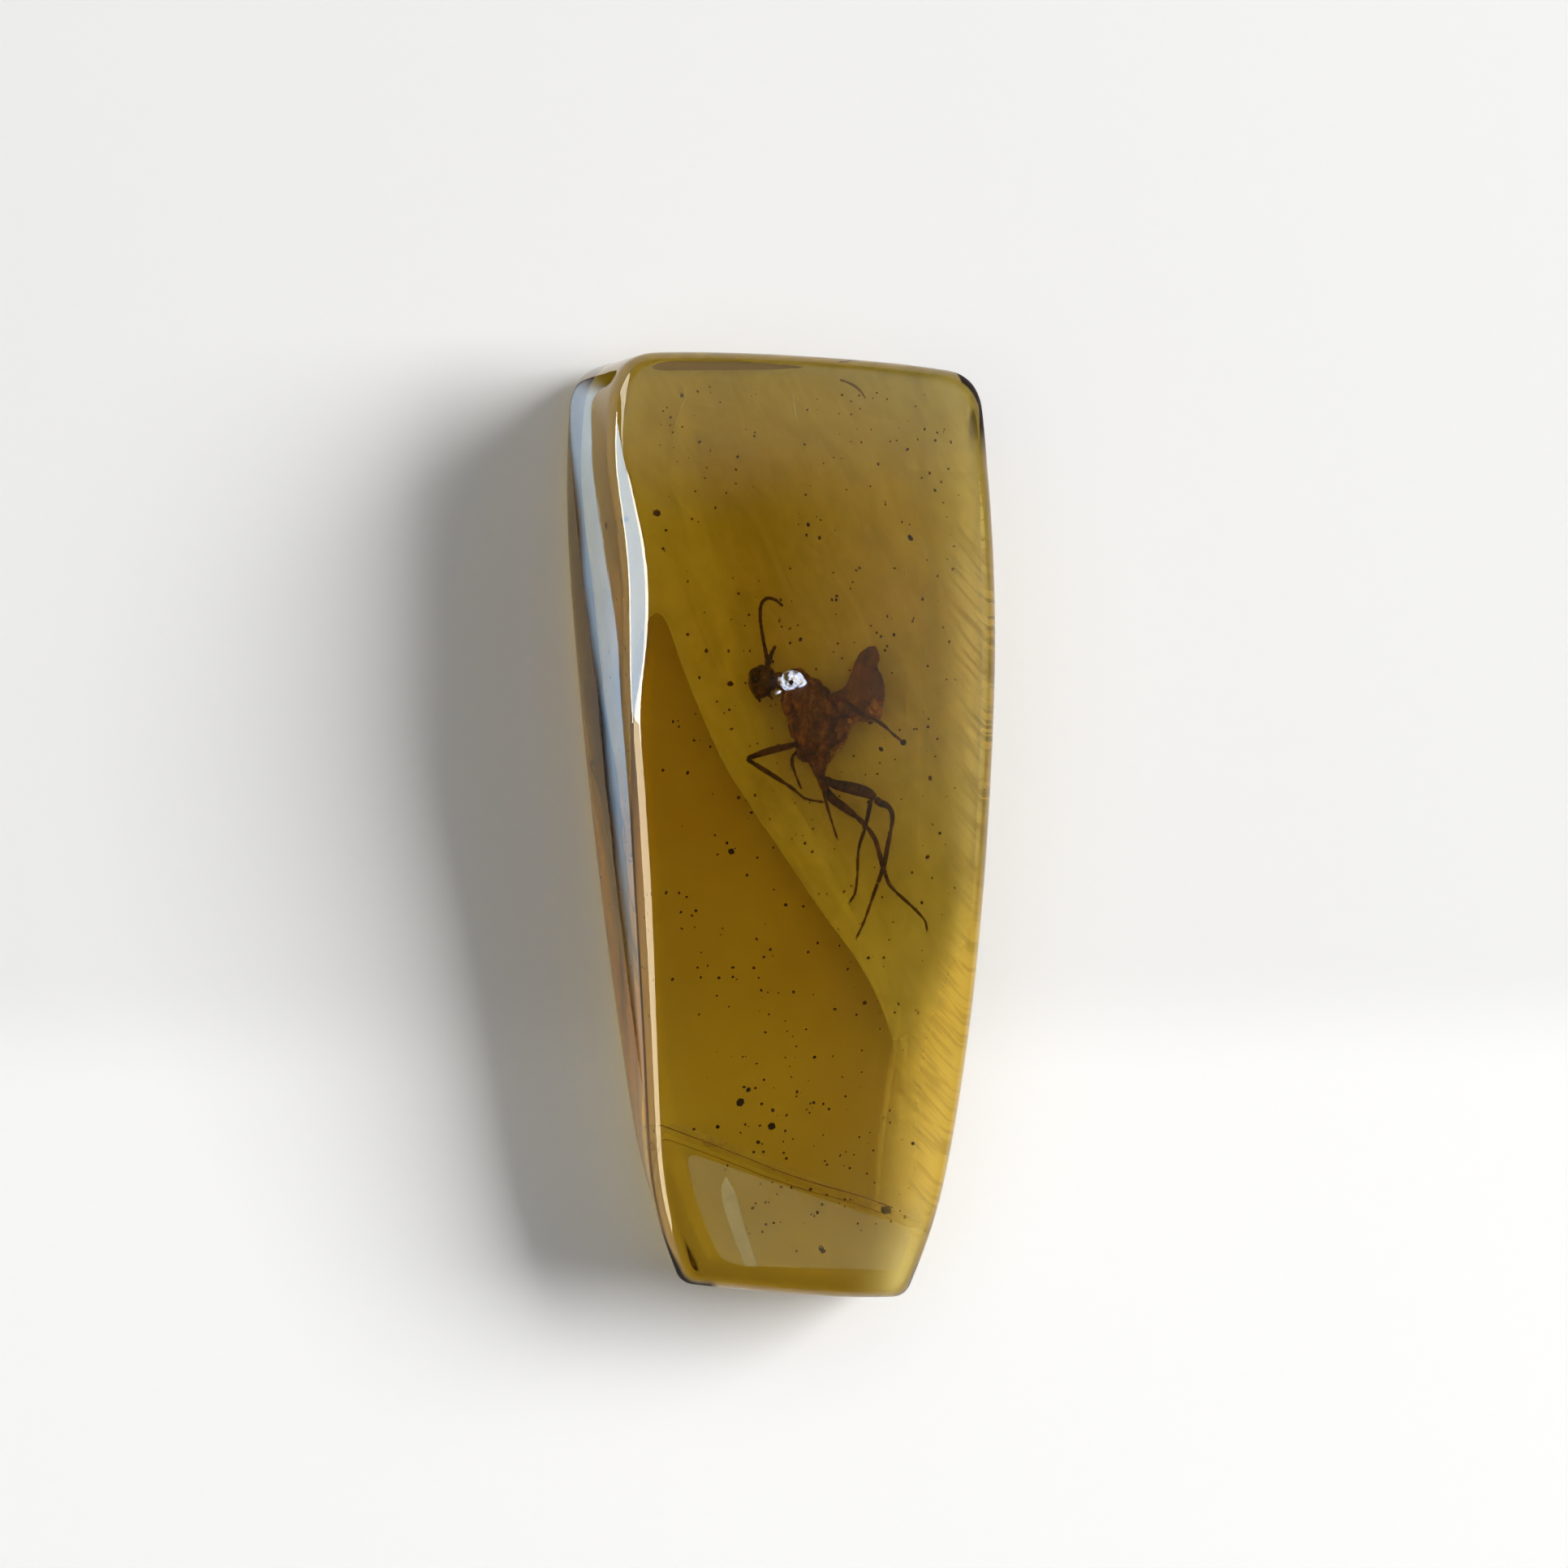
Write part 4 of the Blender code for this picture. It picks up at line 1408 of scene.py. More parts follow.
WINGS = (
    (Membrane("folded_wing", ((1.05, 4.05), (1.34, 4.22), (1.55, 4.36), (1.70, 4.66),
                              (1.84, 5.01), (1.97, 5.26), (2.16, 5.39), (2.38, 5.45),
                              (2.51, 5.34), (2.55, 5.12), (2.50, 4.90), (2.62, 4.66),
                              (2.70, 4.42), (2.50, 4.16), (2.30, 3.90), (2.05, 3.62),
                              (1.60, 3.46), (1.15, 3.46)), 0.10, 0.16, 0.16, 0.02),
     Chitin("wing_fold", (0.060, 0.018, 0.008), (0.115, 0.036, 0.013), (0.19, 0.062, 0.020),
            1.6, 18.0, 0.5)),
    (Membrane("wing_film", ((1.50, 4.10), (2.10, 4.62), (2.55, 4.70), (2.73, 4.42),
                            (2.75, 4.12), (2.69, 3.68), (2.66, 3.46), (2.42, 3.34),
                            (2.05, 3.34), (1.60, 3.50)), 0.02, 0.035, 0.10),
     WingSkin("wing_film", least=0.50, most=0.90)),
    (Membrane("hind_wing_film", ((0.95, 3.55), (1.60, 3.52), (1.92, 3.40), (1.82, 3.22),
                                 (1.72, 3.12), (1.66, 2.92), (1.56, 2.68), (1.50, 2.52),
                                 (1.36, 2.60), (1.28, 2.40), (1.18, 2.22), (1.00, 2.10),
                                 (0.80, 2.50)), -0.02, 0.035, 0.08),
     WingSkin("hind_wing_film", film=(0.50, 0.20, 0.05), least=0.40, most=0.85)),
)


@dataclass
class Stalk:
    """A thin rod from the wing root that ends in a dark knob."""

    rod: Limb = Limb("stalk", ((1.45, 3.88, 0.14, 0.10), (1.77, 3.73, 0.14, 0.075),
                               (2.06, 3.55, 0.13, 0.060), (2.43, 3.40, 0.11, 0.055),
                               (2.75, 3.20, 0.10, 0.050), (2.98, 3.00, 0.08, 0.042),
                               (3.32, 2.74, 0.05, 0.036)), (0.45, 0.75), step=0.08)
    knob: Lobe = Lobe((3.33, 2.73, 0.05), (0.095, 0.085, 0.085), 30.0)

    def build(self, skin: Chitin, dark: Grit) -> list[bpy.types.Object]:
        """Model the rod and its knob.

        Args:
            skin: Finish of the rod.
            dark: Finish of the knob.

        Returns:
            The finished pieces.
        """
        rod = self.rod.shape()
        knob = self.knob.ball("knob")
        knob.rough_up("CLOUDS", 0.06, 0.03)
        return [rod.hand_over(skin.make(), Slot.INSECT),
                knob.hand_over(dark.make(), Slot.INSECT)]


@dataclass
class Hairs:
    """Fine bristles on the legs."""

    count: int = 150
    length: float = 0.17
    radius: float = 0.0075
    seed: int = 11

    def build(self, finish: Chitin) -> bpy.types.Object:
        """Model one bristle and copy it along the legs.

        Args:
            finish: Finish of the bristles.

        Returns:
            The finished piece.
        """
        chance = random.Random(self.seed)
        bpy.ops.object.select_all(action="DESELECT")
        bpy.ops.mesh.primitive_cone_add(vertices=4, radius1=self.radius, radius2=0.0, depth=1.0,
                                        location=(0.0, 0.0, 0.5))
        first = Workpiece("bristle")
        first.open()
        bpy.ops.mesh.select_all(action="SELECT")
        bpy.ops.transform.translate(value=(0.0, 0.0, -0.02))
        first.close()
        copies = []
        paths = [Path(limb.places) for limb in LEGS]
        weights = [path.length for path in paths]
        for _ in range(self.count):
            path = chance.choices(paths, weights)[0]
            share = chance.uniform(0.05, 0.95)
            x, y, z, radius = path.at(share)
            ahead = Vector(path.at(min(share + 0.05, 1.0))[:3]) - Vector((x, y, z))
            round_it = Vector([chance.gauss(0.0, 1.0) for _ in range(3)])
            out = round_it - round_it.project(ahead)
            lean = (out.normalized() + ahead.normalized() * 0.7).normalized()
            foot = Vector(over_level((x, y, z))) + out.normalized() * radius * 0.6
            scale = (1.0, 1.0, self.length * chance.uniform(0.5, 1.1))
            copies.append(first.copy_to("bristle_copy", foot, scale,
                                        lean.to_track_quat("Z", "Y").to_euler()))
        first.absorb(copies)
        first.thing.name = "bristles"
        return first.hand_over(finish.make(), Slot.INSECT)


@dataclass
class Insect:
    """The whole insect, put together from its parts."""

    skin: Chitin = Chitin()
    head_skin: Chitin = Chitin("head_skin", (0.020, 0.010, 0.008), (0.060, 0.026, 0.016),
                               (0.17, 0.085, 0.055), 5.0, 34.0, 0.35)
    eye_skin: Chitin = Chitin("eye_skin", (0.012, 0.007, 0.006), (0.030, 0.014, 0.010),
                              (0.075, 0.035, 0.022), 6.0, 60.0, 0.22)
    leg_skin: Chitin = Chitin("leg_skin", (0.018, 0.008, 0.005), (0.052, 0.020, 0.010),
                              (0.11, 0.042, 0.018), 3.0, 40.0, 0.40)
    knob_skin: Grit = Grit("knob_skin")

    def build(self) -> list[bpy.types.Object]:
        """Model every part.

        Returns:
            The finished pieces.
        """
        pieces = [Trunk().build(self.skin)]
        pieces += Head().build(self.head_skin, self.eye_skin)
        leg_finish = self.leg_skin.make()
        pieces += [limb.shape().hand_over(leg_finish, Slot.INSECT) for limb in (*LEGS, *FEELERS)]
        pieces += [membrane.build(finish) for membrane, finish in WINGS]
        pieces += Stalk().build(self.leg_skin, self.knob_skin)
        pieces.append(Hairs().build(self.leg_skin))
        return pieces


# ------------------------------------------------------------------------------ inclusions
@dataclass
class Bubble:
    """A crumpled gas bubble that clings to the insect's neck, with a dark crumb on it."""

    lobes: tuple[Lobe, ...] = (
        Lobe((-0.05, 4.50, 0.42), (0.36, 0.27, 0.16), -12.0),
        Lobe((0.16, 4.44, 0.44), (0.22, 0.15, 0.12), -30.0),
        Lobe((-0.20, 4.38, 0.44), (0.20, 0.17, 0.12), 20.0),
        Lobe((0.02, 4.62, 0.42), (0.20, 0.12, 0.11), 0.0),
        Lobe((0.32, 4.40, 0.40), (0.09, 0.06, 0.06), -35.0),
        Lobe((-0.42, 4.46, 0.40), (0.07, 0.14, 0.07), 25.0),
        Lobe((-0.50, 4.16, 0.28), (0.12, 0.05, 0.05), 15.0),
    )
    crumb: Lobe = Lobe((-0.13, 4.43, 0.585), (0.075, 0.065, 0.035))

    def build(self, gas: GasSkin, dark: Grit) -> list[bpy.types.Object]:
        """Model the bubble and the crumb.

        Args:
            gas: Finish of the bubble.
            dark: Finish of the crumb.

        Returns:
            The finished pieces.
        """
        bubble = fuse("bubble", [lobe.ball("blister") for lobe in self.lobes], 0.018, 2)
        bubble.rough_up("CLOUDS", 0.10, 0.03)
        crumb = self.crumb.ball("bubble_crumb")
        crumb.rough_up("CLOUDS", 0.04, 0.02)
        return [bubble.hand_over(gas.make(), Slot.INSECT),
                crumb.hand_over(dark.make(), Slot.INSECT)]


class Tone(Enum):
    """The kinds of debris, by their look."""

    BLACK = "black"
    BROWN = "brown"


SPECKS: dict[Tone, tuple[Station, ...]] = {       # x, y, size, height over the insect's level
    Tone.BLACK: (
        (3.59, 8.47, 0.115, 1.0), (2.33, 3.31, 0.07, 0.0), (2.66, 2.54, 0.09, 0.0),
        (-1.74, -0.49, 0.10, 1.0), (-1.13, -7.57, 0.08, 0.8), (-1.37, -7.94, 0.12, 0.8),
        (3.11, -11.29, 0.17, 0.6)),
    Tone.BROWN: (
        (-3.95, 9.03, 0.10, 1.2), (0.79, 8.39, 0.06, 0.0), (1.31, 5.52, 0.06, 0.0),
        (-2.78, 4.58, 0.07, 0.0), (-1.84, 4.38, 0.11, 0.6), (4.18, 1.68, 0.075, 0.0),
        (-3.09, 1.87, 0.06, 0.0), (-3.81, 1.94, 0.06, 0.0), (4.15, -0.67, 0.07, 0.0),
        (-3.07, -1.77, 0.06, 0.0), (-3.29, -1.65, 0.05, 0.0), (-3.67, -1.64, 0.06, 0.0),
        (-3.23, -2.22, 0.05, 0.0), (-3.20, -2.71, 0.05, 0.0), (-0.13, -2.04, 0.06, 0.0),
        (-2.43, -3.83, 0.055, 0.0), (-2.72, -3.88, 0.05, 0.0), (-2.09, -4.20, 0.06, 0.0),
        (-0.82, -4.59, 0.05, 0.0), (-3.46, -4.23, 0.06, 0.0), (2.31, -5.03, 0.06, 0.0),
        (3.25, -5.34, 0.05, 0.0), (3.98, -5.36, 0.05, 0.0), (5.05, -5.85, 0.05, 0.0),
        (-0.76, -8.00, 0.05, 0.0), (-0.45, -8.68, 0.12, 0.0), (-2.07, -8.66, 0.07, 0.0),
        (-2.77, -8.72, 0.05, 0.0), (0.01, -9.66, 0.05, 0.0), (-0.69, -9.44, 0.05, 0.0),
        (3.68, -11.53, 0.06, 0.0), (1.10, -12.39, 0.10, 0.0), (4.20, 10.35, 0.08, 0.0),
        (4.35, 9.85, 0.06, 0.0), (3.95, 10.20, 0.05, 0.0), (4.55, 10.10, 0.05, 0.0),
        (3.30, 8.90, 0.05, 0.0), (-1.30, 5.30, 0.045, 0.0), (-0.62, 5.02, 0.045, 0.0),
        (-0.43, 2.65, 0.07, 0.0)),
}


@dataclass
class Debris:
    """All crumbs of one tone, as a single piece."""

    tone: Tone
    tablet: Tablet
    dust: int = 0                                  # how many more are strewn at random
    seed: int = 5
    dust_sizes: Plan = (0.018, 0.058)
    proportions: Plan = (0.6, 1.25)
    gaps: Plan = (1.9, 1.0)                        # kept free at the left and right walls
    ends: Plan = (-12.6, 12.8)
    lowest: float = 1.6
    under_front: float = 0.5
    sight_slope: float = 0.137                     # how far a crumb shifts for each mm deeper

    def build(self, finish: Grit) -> bpy.types.Object:
        """Model one crumb and copy it to every place.

        Args:
            finish: Finish of the crumbs.

        Returns:
            The finished piece.
        """
        chance = random.Random(self.seed)
        first = Workpiece.pebble("crumb", 1.0)
        copies = []
        for x, y, size, depth in SPECKS[self.tone]:
            spot = over_level((x - self.sight_slope * depth, y, depth))
            copies.append(self._copy(first, spot, size, chance))
        for _ in range(self.dust):
            spot = self._anywhere(chance)
            copies.append(self._copy(first, spot, chance.uniform(*self.dust_sizes), chance))
        bpy.data.objects.remove(first.thing, do_unlink=True)
        copies[0].absorb(copies[1:])
        copies[0].thing.name = self.tone.value + "_debris"
        return copies[0].hand_over(finish.make(), Slot.INSECT)

    def _anywhere(self, chance: random.Random) -> Place:
        """A random place well inside the resin."""
        y = chance.uniform(*self.ends)
        left = self.tablet.side_position(self.tablet.left_side, y) + self.gaps[0]
        right = self.tablet.side_position(self.tablet.right_side, y) - self.gaps[1]
        x = chance.uniform(left, right)
        top = self.tablet.front_height(x, y) - self.under_front
        return x, y, chance.uniform(self.lowest, top)

    def _copy(self, first: Workpiece, spot: Place, size: float,
              chance: random.Random) -> Workpiece:
        """A copy of the crumb with its own proportions.

        Args:
            first: The crumb.
            spot: Where it lies.
            size: Its mean radius.
            chance: The source of chance.

        Returns:
            The copy.
        """
        turn = [chance.uniform(0.0, math.tau) for _ in range(3)]
        scale = [size * chance.uniform(*self.proportions) for _ in range(3)]
        return first.copy_to("crumb_copy", spot, scale, turn)


@dataclass
class Sheetlet:
    """A thin layer sealed in the resin, as a grid that follows a formula."""

    name: str
    rows: tuple[tuple[Place, Place], ...]          # both ends of each row of the grid
    across: int = 12
    levels: int = 2
    thickness: float = 0.012

    def build(self, finish: Finish) -> bpy.types.Object:
        """Give the layer its thickness.

        Args:
            finish: Its finish.

        Returns:
            The finished piece.
        """
        work = self.lay()
        work.modify("SOLIDIFY", thickness=self.thickness, offset=0.0)
        return work.hand_over(finish.make(), Slot.AMBER)

    def lay(self) -> Workpiece:
        """Extrude the grid row by row and smooth it."""
        first = self._row(*self.rows[0])
        work = Workpiece.chain(self.name, first)
        work.open()
        bpy.ops.mesh.select_all(action="SELECT")
        order = list(range(len(first)))
        for ends in self.rows[1:]:
            places = [Vector(place) for place in self._row(*ends)]
            order = work.extrude_ring(order, places)
        work.close()
        work.modify("SUBSURF", levels=self.levels, render_levels=self.levels)
        return work

    def _row(self, start: Place, end: Place) -> list[Place]:
        """Places along one row."""
        return [tuple(Vector(start).lerp(Vector(end), i / self.across))
                for i in range(self.across + 1)]


@dataclass
class Thread:
    """A fine line in the resin: a fibre, or the edge of a healed crack."""

    name: str
    stations: tuple[Station, ...]
    step: float = 0.25

    def build(self, finish: Finish) -> bpy.types.Object:
        """Model it.

        Args:
            finish: Its finish.

        Returns:
            The finished piece.
        """
        stations = Path(self.stations).every(self.step)
        work = Workpiece.chain(self.name, [station[:3] for station in stations])
        work.skin([station[3] for station in stations], 1)
        return work.hand_over(finish.make(), Slot.AMBER)


SEAM_LINE = ((-4.10, -8.65), (-2.89, -9.12), (-1.67, -9.61), (-0.43, -10.12), (0.81, -10.55),
             (2.07, -10.93), (3.09, -11.31), (4.45, -11.85))
FLOW_LINE = ((-4.75, 13.10), (-4.85, 11.60), (-4.80, 10.20), (-4.55, 8.90), (-4.15, 7.60),
             (-3.66, 6.22), (-3.18, 4.87), (-2.58, 3.51), (-1.97, 2.13), (-0.86, 0.48),
             (0.26, -1.08), (1.15, -2.42), (2.17, -3.67), (2.96, -5.16), (3.37, -6.42),
             (3.48, -7.66))


@dataclass
class Layers:
    """Flow layers and the healed crack near the narrow end."""

    tablet: Tablet
    flow_height: float = 1.55
    flow_rise: float = 0.25                        # towards the right wall
    flow_skew: float = 0.4                         # how much farther up it ends at that wall
    wall_gap: float = 0.25
    strip_width: float = 2.6                       # of the layers along the right side
    strip_left: float = 2.3                        # where they begin at the latest
    strip_depth: float = 0.75                      # under the front
    tip_gap: float = 0.75
    tip_depth: float = 0.55

    def build(self) -> list[bpy.types.Object]:
        """Model every layer.

        Returns:
            The finished pieces.
        """
        return [self._flow_layer(), self._edge_layer(), self._marked_layer(),
                self._tip_layer(), self._crack(),
                *self._crack_edges(), self._fibre(), self._pale_fibre()]

    def _right(self, y: float, gap: float) -> float:
        """Where the right side runs, less a gap, as x at a given y."""
        return self.tablet.side_position(self.tablet.right_side, y) - gap

    def _under_front(self, ends: Sequence[Plan], depth: float) -> tuple[Place, ...]:
        """Plan places, brought to a depth under the front."""
        return tuple((x, y, self.tablet.front_height(x, y) - depth) for x, y in ends)

    def _strip(self, name: str, ys: Sequence[float], finish: Haze) -> bpy.types.Object:
        """A layer close under the front, along the right side.

        Args:
            name: Name of the piece.
            ys: Where its rows are.
            finish: Its finish.

        Returns:
            The finished piece.
        """
        rows = []
        for y in ys:
            right = self._right(y, self.wall_gap)
            left = max(self.strip_left, right - self.strip_width)
            rows.append(self._under_front(((left, y), (right, y)), self.strip_depth))
        return Sheetlet(name, tuple(rows)).build(finish)

    def _flow_layer(self) -> bpy.types.Object:
        """A faint layer that lightens the resin to the right of the flow line.

        Returns:
            The finished piece.
        """
        far = self.flow_height + self.flow_rise
        rows = tuple(((x, y, self.flow_height),
                      (self._right(y, self.wall_gap), y + self.flow_skew, far))
                     for x, y in FLOW_LINE)
        return Sheetlet("flow_layer", rows).build(
            Haze("flow_haze", solid=0.42, patchy=0.35, fades=((0.0, 1.0, -7.9, -5.2),)))

    def _edge_layer(self) -> bpy.types.Object:
        """A golden layer along the lower right edge that glows as painted light, crossed by fine
        slanting marks.
        """
        fades = ((1.0, 0.0, 2.4, 4.9), (1.0, -0.47, 5.6, 7.5), (0.0, 1.0, -13.2, -10.2))
        # painted light: a glowing gold sheet stands in for the golden light along this edge; the
        # slanting marks are real
        return self._strip(
            "edge_layer", (-1.0, -2.6, -4.2, -5.8, -7.4, -9.0, -10.6, -12.2, -13.2),
            Haze("gold_haze", (1.0, 0.72, 0.15), 0.62, 0.7, 0.15, fades, 0.25, glow=0.24))

    def _marked_layer(self) -> bpy.types.Object:
        """A faint layer along the upper right edge, crossed by slanting grinding marks."""
        fades = ((1.0, 0.06, 4.4, 6.0), (0.0, 1.0, -4.3, -1.5), (0.0, -1.0, -9.8, -7.0))
        return self._strip(
            "marked_layer", (10.5, 9.0, 7.5, 6.0, 4.5, 3.0, 1.5, 0.0, -1.5, -3.0, -4.5),
            Haze("marked_haze", (1.0, 0.74, 0.30), 0.40, 0.7, 0.2, fades, 0.65))

    def _tip_layer(self) -> bpy.types.Object:
        """A paler layer between the healed crack and the narrow end.

        Returns:
            The finished piece.
        """
        rows = []
        for share in (0.0, 0.2, 0.4, 0.6, 0.8, 1.0):
            left_y = -9.35 - share * 3.4
            right_y = -11.9 - share * 1.2
            left_x = self.tablet.side_position(self.tablet.left_side, left_y) + self.tip_gap
            ends = ((left_x, left_y), (self._right(right_y, self.tip_gap), right_y))
            rows.append(self._under_front(ends, self.tip_depth))
        return Sheetlet("tip_layer", tuple(rows)).build(
            Haze("tip_haze", (0.90, 0.92, 0.96), 0.085, 0.6, 0.15))

    def _crack(self) -> bpy.types.Object:
        """The healed crack itself, nearly upright.

        Returns:
            The finished piece.
        """
        rows = []
        for share in (0.0, 0.33, 0.66, 1.0):
            ends = []
            for x, y in (SEAM_LINE[0], SEAM_LINE[-1]):
                inwards = 0.55 if x < 0 else -0.35
                top = self.tablet.front_height(x, y) - 0.35
                ends.append((x + inwards, y - 0.12 + 0.30 * share,
                             0.35 + (top - 0.35) * share))
            rows.append(tuple(ends))
        return Sheetlet("healed_crack", tuple(rows)).build(
            Haze("crack_film", (0.75, 0.52, 0.20), 0.16, 1.2, 0.6))

    def _crack_edges(self) -> list[bpy.types.Object]:
        """Two fine brown lines where the crack meets the front and the back.

        Returns:
            The finished pieces.
        """
        pieces = []
        for name, shift, depth, radius in (("crack_edge_front", 0.10, 0.30, 0.017),
                                           ("crack_edge_back", -0.16, 3.3, 0.011)):
            stations = []
            for x, y in SEAM_LINE[:-1]:
                z = self.tablet.front_height(x, y) - depth
                stations.append((x + 0.10, y + shift, z, radius))
            pieces.append(Thread(name, tuple(stations)).build(
                Grit("crack_edge", (0.10, 0.035, 0.008), (0.22, 0.09, 0.02))))
        return pieces

    def _fibre(self) -> bpy.types.Object:
        """A short brown fibre near the wide end."""
        stations = ((1.45, 13.10, 3.2, 0.03), (1.80, 12.98, 3.25, 0.045),
                    (2.05, 12.80, 3.3, 0.040), (2.22, 12.55, 3.3, 0.02))
        return Thread("fibre", stations, 0.08).build(
            Grit("fibre", (0.12, 0.055, 0.016), (0.22, 0.10, 0.03)))

    def _pale_fibre(self) -> bpy.types.Object:
        """A pale upright hair near the wide end."""
        stations = ((-0.10, 12.62, 4.4, 0.012), (-0.06, 12.25, 4.45, 0.028),
                    (0.00, 11.90, 4.5, 0.010))
        return Thread("pale_fibre", stations, 0.08).build(
            Haze("pale_fibre", (0.72, 0.76, 0.86), 0.55, 3.0, 0.3))


# ------------------------------------------------------------------------------ the studio
class Use(Enum):
    """What a lamp is there for."""

    LIGHT = "light"                                # lights what it reaches through air
    INNER = "inner"                                # only what lies behind the resin
    MIRROR = "mirror"                              # only seen as a mirror image


@dataclass(frozen=True)
class Softbox:
    """A flat lamp far from the tablet, given by the directions that it fills."""

    name: str
    azimuth: float                                 # anticlockwise from +X, in degrees
    elevation: float
    wide: float                                    # degrees that it fills, seen from the part
    high: float
    radiance: float
    colour: Colour = (1.0, 1.0, 1.0)
    use: Use = Use.LIGHT
    distance: float = 800.0
    aim: Place = (0.0, 0.0, 3.0)

    def build(self) -> None:
        """Hang the lamp, with its face towards the tablet."""
        azimuth, elevation = math.radians(self.azimuth), math.radians(self.elevation)
        back = Vector((math.cos(azimuth) * math.cos(elevation),
                       math.sin(azimuth) * math.cos(elevation), math.sin(elevation)))
        lamp = bpy.data.lights.new(self.name, "AREA")
        lamp.shape = "RECTANGLE"
        lamp.size = 2 * self.distance * math.tan(math.radians(self.wide / 2)) * MM
        lamp.size_y = 2 * self.distance * math.tan(math.radians(self.high / 2)) * MM
        lamp.energy = self.radiance * math.pi * lamp.size * lamp.size_y
        lamp.color = self.colour
        thing = bpy.data.objects.new(self.name, lamp)
        thing.location = (Vector(self.aim) + back * self.distance) * MM
        thing.rotation_mode = "QUATERNION"
        thing.rotation_quaternion = back.to_track_quat("Z", "Y")
        thing.visible_camera = False
        thing.visible_glossy = self.use is Use.MIRROR
        thing.visible_diffuse = self.use is Use.LIGHT
        thing.visible_transmission = self.use is Use.INNER
        bpy.context.scene.collection.objects.link(thing)


@dataclass
class LowCard(Finish):
    """A narrow, softly glowing card that lies beside the tablet and shows in its left wall."""

    name: str = "low_card"
    edges: tuple[tuple[float, float, float], ...] = (       # y, and x of both long edges
        (14.90, -5.75, -6.60), (13.60, -5.95, -6.80), (12.50, -6.15, -6.97),
        (11.35, -6.45, -7.11), (10.30, -6.62, -7.31), (9.20, -6.72, -7.48),
        (7.80, -6.77, -7.55), (6.35, -6.71, -7.54), (4.06, -6.48, -7.62),
        (1.50, -6.20, -7.45), (-0.95, -5.90, -7.10), (-3.40, -5.54, -6.90),
        (-5.80, -5.13, -6.60), (-8.30, -4.53, -5.80))
    height: float = 0.05
    across: int = 4
    strongest: float = 1.6
    cool: Colour = (0.50, 0.75, 1.0)
    warm: Colour = (1.0, 0.95, 0.80)

    def write(self, recipe: Recipe) -> None:
        """A glow with one soft edge that turns warmer and fainter towards the narrow end."""
        where = recipe.millimetres()
        along = recipe.axis(where, "Y")
        wear = recipe.noise(where, 0.8, 3.0)
        colour = recipe.mix(along.step(-5.0, 1.0), self.warm, self.cool)
        edge = along * -0.128 + along ** 2.0 * 0.0055 + along.step(8.5, 15.0) - 6.12
        depth = edge - recipe.axis(where, "X")
        soft = depth.step(-0.10, 0.22) * 0.85 + depth.step(0.2, 0.9) * 0.25
        length = (along.step(-6.0, 5.0) * 0.65 + 0.35) * (1.0 - along.step(13.3, 14.3))
        strength = length * soft * (wear * 0.3 + 0.85) * self.strongest
        glow = recipe.node("Emission", {}, {"Color": colour, "Strength": strength})
        recipe.surface(glow)

    def build(self) -> None:
        """Lay the card down, where only mirror images show it."""
        rows = tuple(((inner, y, self.height), (outer, y, self.height))
                     for y, inner, outer in self.edges)
        work = Sheetlet(self.name, rows, self.across).lay()
        work.thing.data.materials.append(self.make())
        work.to_metres()
        card = work.thing
        card.visible_camera = False
        card.visible_diffuse = False
        card.visible_transmission = False
        card.visible_shadow = False


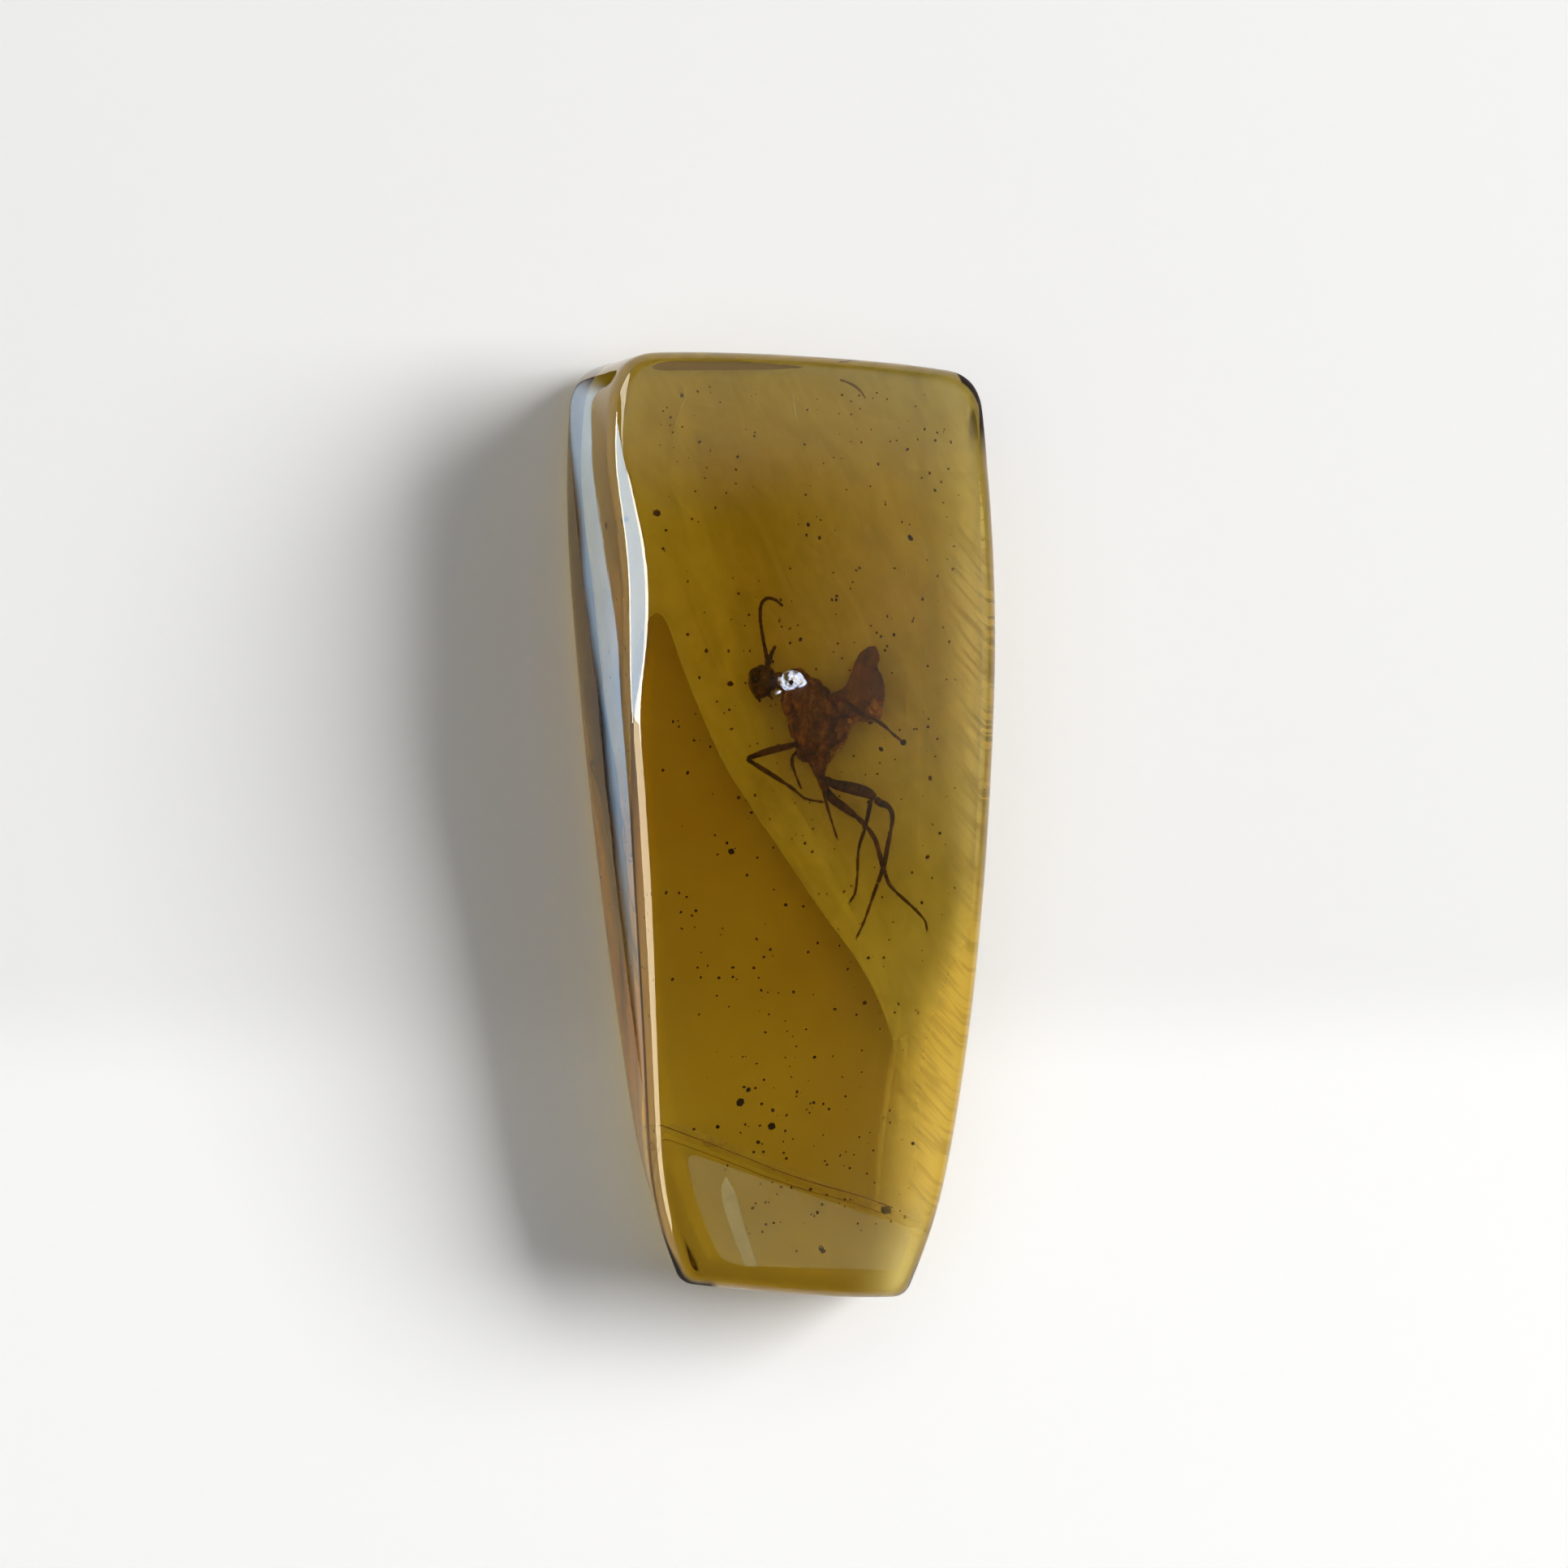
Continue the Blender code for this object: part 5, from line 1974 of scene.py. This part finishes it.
@dataclass
class Studio:
    """Floor, lamps, surrounding light and camera."""

    floor_half: float = 3000.0
    floor_gap: float = 0.03
    ambient: float = 0.03
    horizon: float = 0.27
    top_lobe: float = 0.90
    right_lobe: float = 0.82
    lean: float = 12.0                             # of the camera, towards -X, from upright
    distance: float = 129.2
    target: Place = (0.07, 1.34, 3.0)
    lens: float = 100.0
    lamps: tuple[Softbox, ...] = (
        Softbox("key_light", 15.0, 38.0, 35.0, 32.0, 11.4, (1.0, 0.99, 0.975), Use.LIGHT),
        Softbox("overhead_light", 180.0, 68.0, 50.0, 50.0, 0.62),
        Softbox("inner_light", 8.0, 56.0, 50.0, 50.0, 1.85, use=Use.INNER),
        Softbox("window_top", 171.0, 66.0, 38.0, 8.0, 20.0, (1.0, 0.99, 0.93), Use.MIRROR),
        Softbox("window_middle", 171.0, 35.0, 38.0, 54.0, 13.0, (0.56, 0.79, 1.0), Use.MIRROR),
        Softbox("window_bottom", 171.0, 5.0, 38.0, 6.0, 20.0, (1.0, 0.99, 0.93), Use.MIRROR),
        Softbox("window_side", 203.0, 35.0, 26.0, 68.0, 11.0, (1.0, 0.84, 0.58), Use.MIRROR),
        Softbox("window_corner", 131.0, 24.0, 19.0, 42.0, 8.0, (1.0, 0.97, 0.82), Use.MIRROR),
    )

    def build(self) -> None:
        """Set everything up."""
        self._floor()
        self._world()
        for lamp in self.lamps:
            lamp.build()
        LowCard().build()
        self._camera()
        bpy.context.scene.view_settings.view_transform = "Standard"
        LOG.info("studio: %d lamps", len(self.lamps))

    def _floor(self) -> None:
        """A large pale floor just under the tablet."""
        bpy.ops.object.select_all(action="DESELECT")
        bpy.ops.mesh.primitive_plane_add(size=2 * self.floor_half * MM,
                                         location=(0.0, 0.0, -self.floor_gap * MM))
        floor = bpy.context.object
        floor.name = "floor"
        floor.data.materials.append(PaleFloor().make())

    def _world(self) -> None:
        """Dim surroundings, paler along the horizon and in two soft lobes overhead."""
        world = bpy.data.worlds.new("surroundings")
        bpy.context.scene.world = world
        world.use_nodes = True
        recipe = Recipe(world.node_tree)
        direction = recipe.node("TexCoord", output="Generated")
        east = recipe.axis(direction, "X")
        north = recipe.axis(direction, "Y")
        up = recipe.axis(direction, "Z")
        level = 1.0 - up.step(0.10, 0.42)
        top = north.step(0.36, 0.58) * up.step(0.45, 0.70)
        right = east.step(0.36, 0.66) * north.step(-0.33, -0.20) * up.step(0.55, 0.72)
        strength = (level * (self.horizon - self.ambient) + self.ambient
                    + top * self.top_lobe + right * self.right_lobe)
        light = recipe.node("Background", {}, {"Color": (0.97, 0.99, 1.0, 1.0),
                                               "Strength": strength})
        recipe.node("OutputWorld", {}, {"Surface": light})

    def _camera(self) -> None:
        """The camera, leaning over from the left."""
        lean = math.radians(self.lean)
        back = Vector((-math.sin(lean), 0.0, math.cos(lean)))
        data = bpy.data.cameras.new("camera")
        data.lens = self.lens
        data.clip_start = 0.001
        data.clip_end = 20.0
        camera = bpy.data.objects.new("camera", data)
        camera.location = (Vector(self.target) + back * self.distance) * MM
        camera.rotation_euler = (0.0, -lean, 0.0)
        bpy.context.scene.collection.objects.link(camera)
        bpy.context.scene.camera = camera


def main() -> None:
    """Build the tablet, the insect, the inclusions and the studio."""
    logging.basicConfig(level=logging.INFO, format="%(name)s: %(message)s")
    tablet = Tablet()
    tablet.build(Resin())
    Insect().build()
    Bubble().build(GasSkin(), Grit("bubble_crumb"))
    Debris(Tone.BLACK, tablet, 0, 3).build(Grit("black_grit", light=(0.03, 0.012, 0.006)))
    Debris(Tone.BROWN, tablet, 460, 5).build(
        Grit("brown_grit", (0.018, 0.008, 0.004), (0.08, 0.032, 0.012)))
    Layers(tablet).build()
    Studio().build()
    scene = bpy.context.scene
    scene.cycles.transparent_max_bounces = SEE_THROUGH_BOUNCES
    scene.cycles.max_bounces = LIGHT_BOUNCES
    scene.cycles.transmission_bounces = LIGHT_BOUNCES
    scene.cycles.caustics_reflective = False


if __name__ == "__main__":
    main()
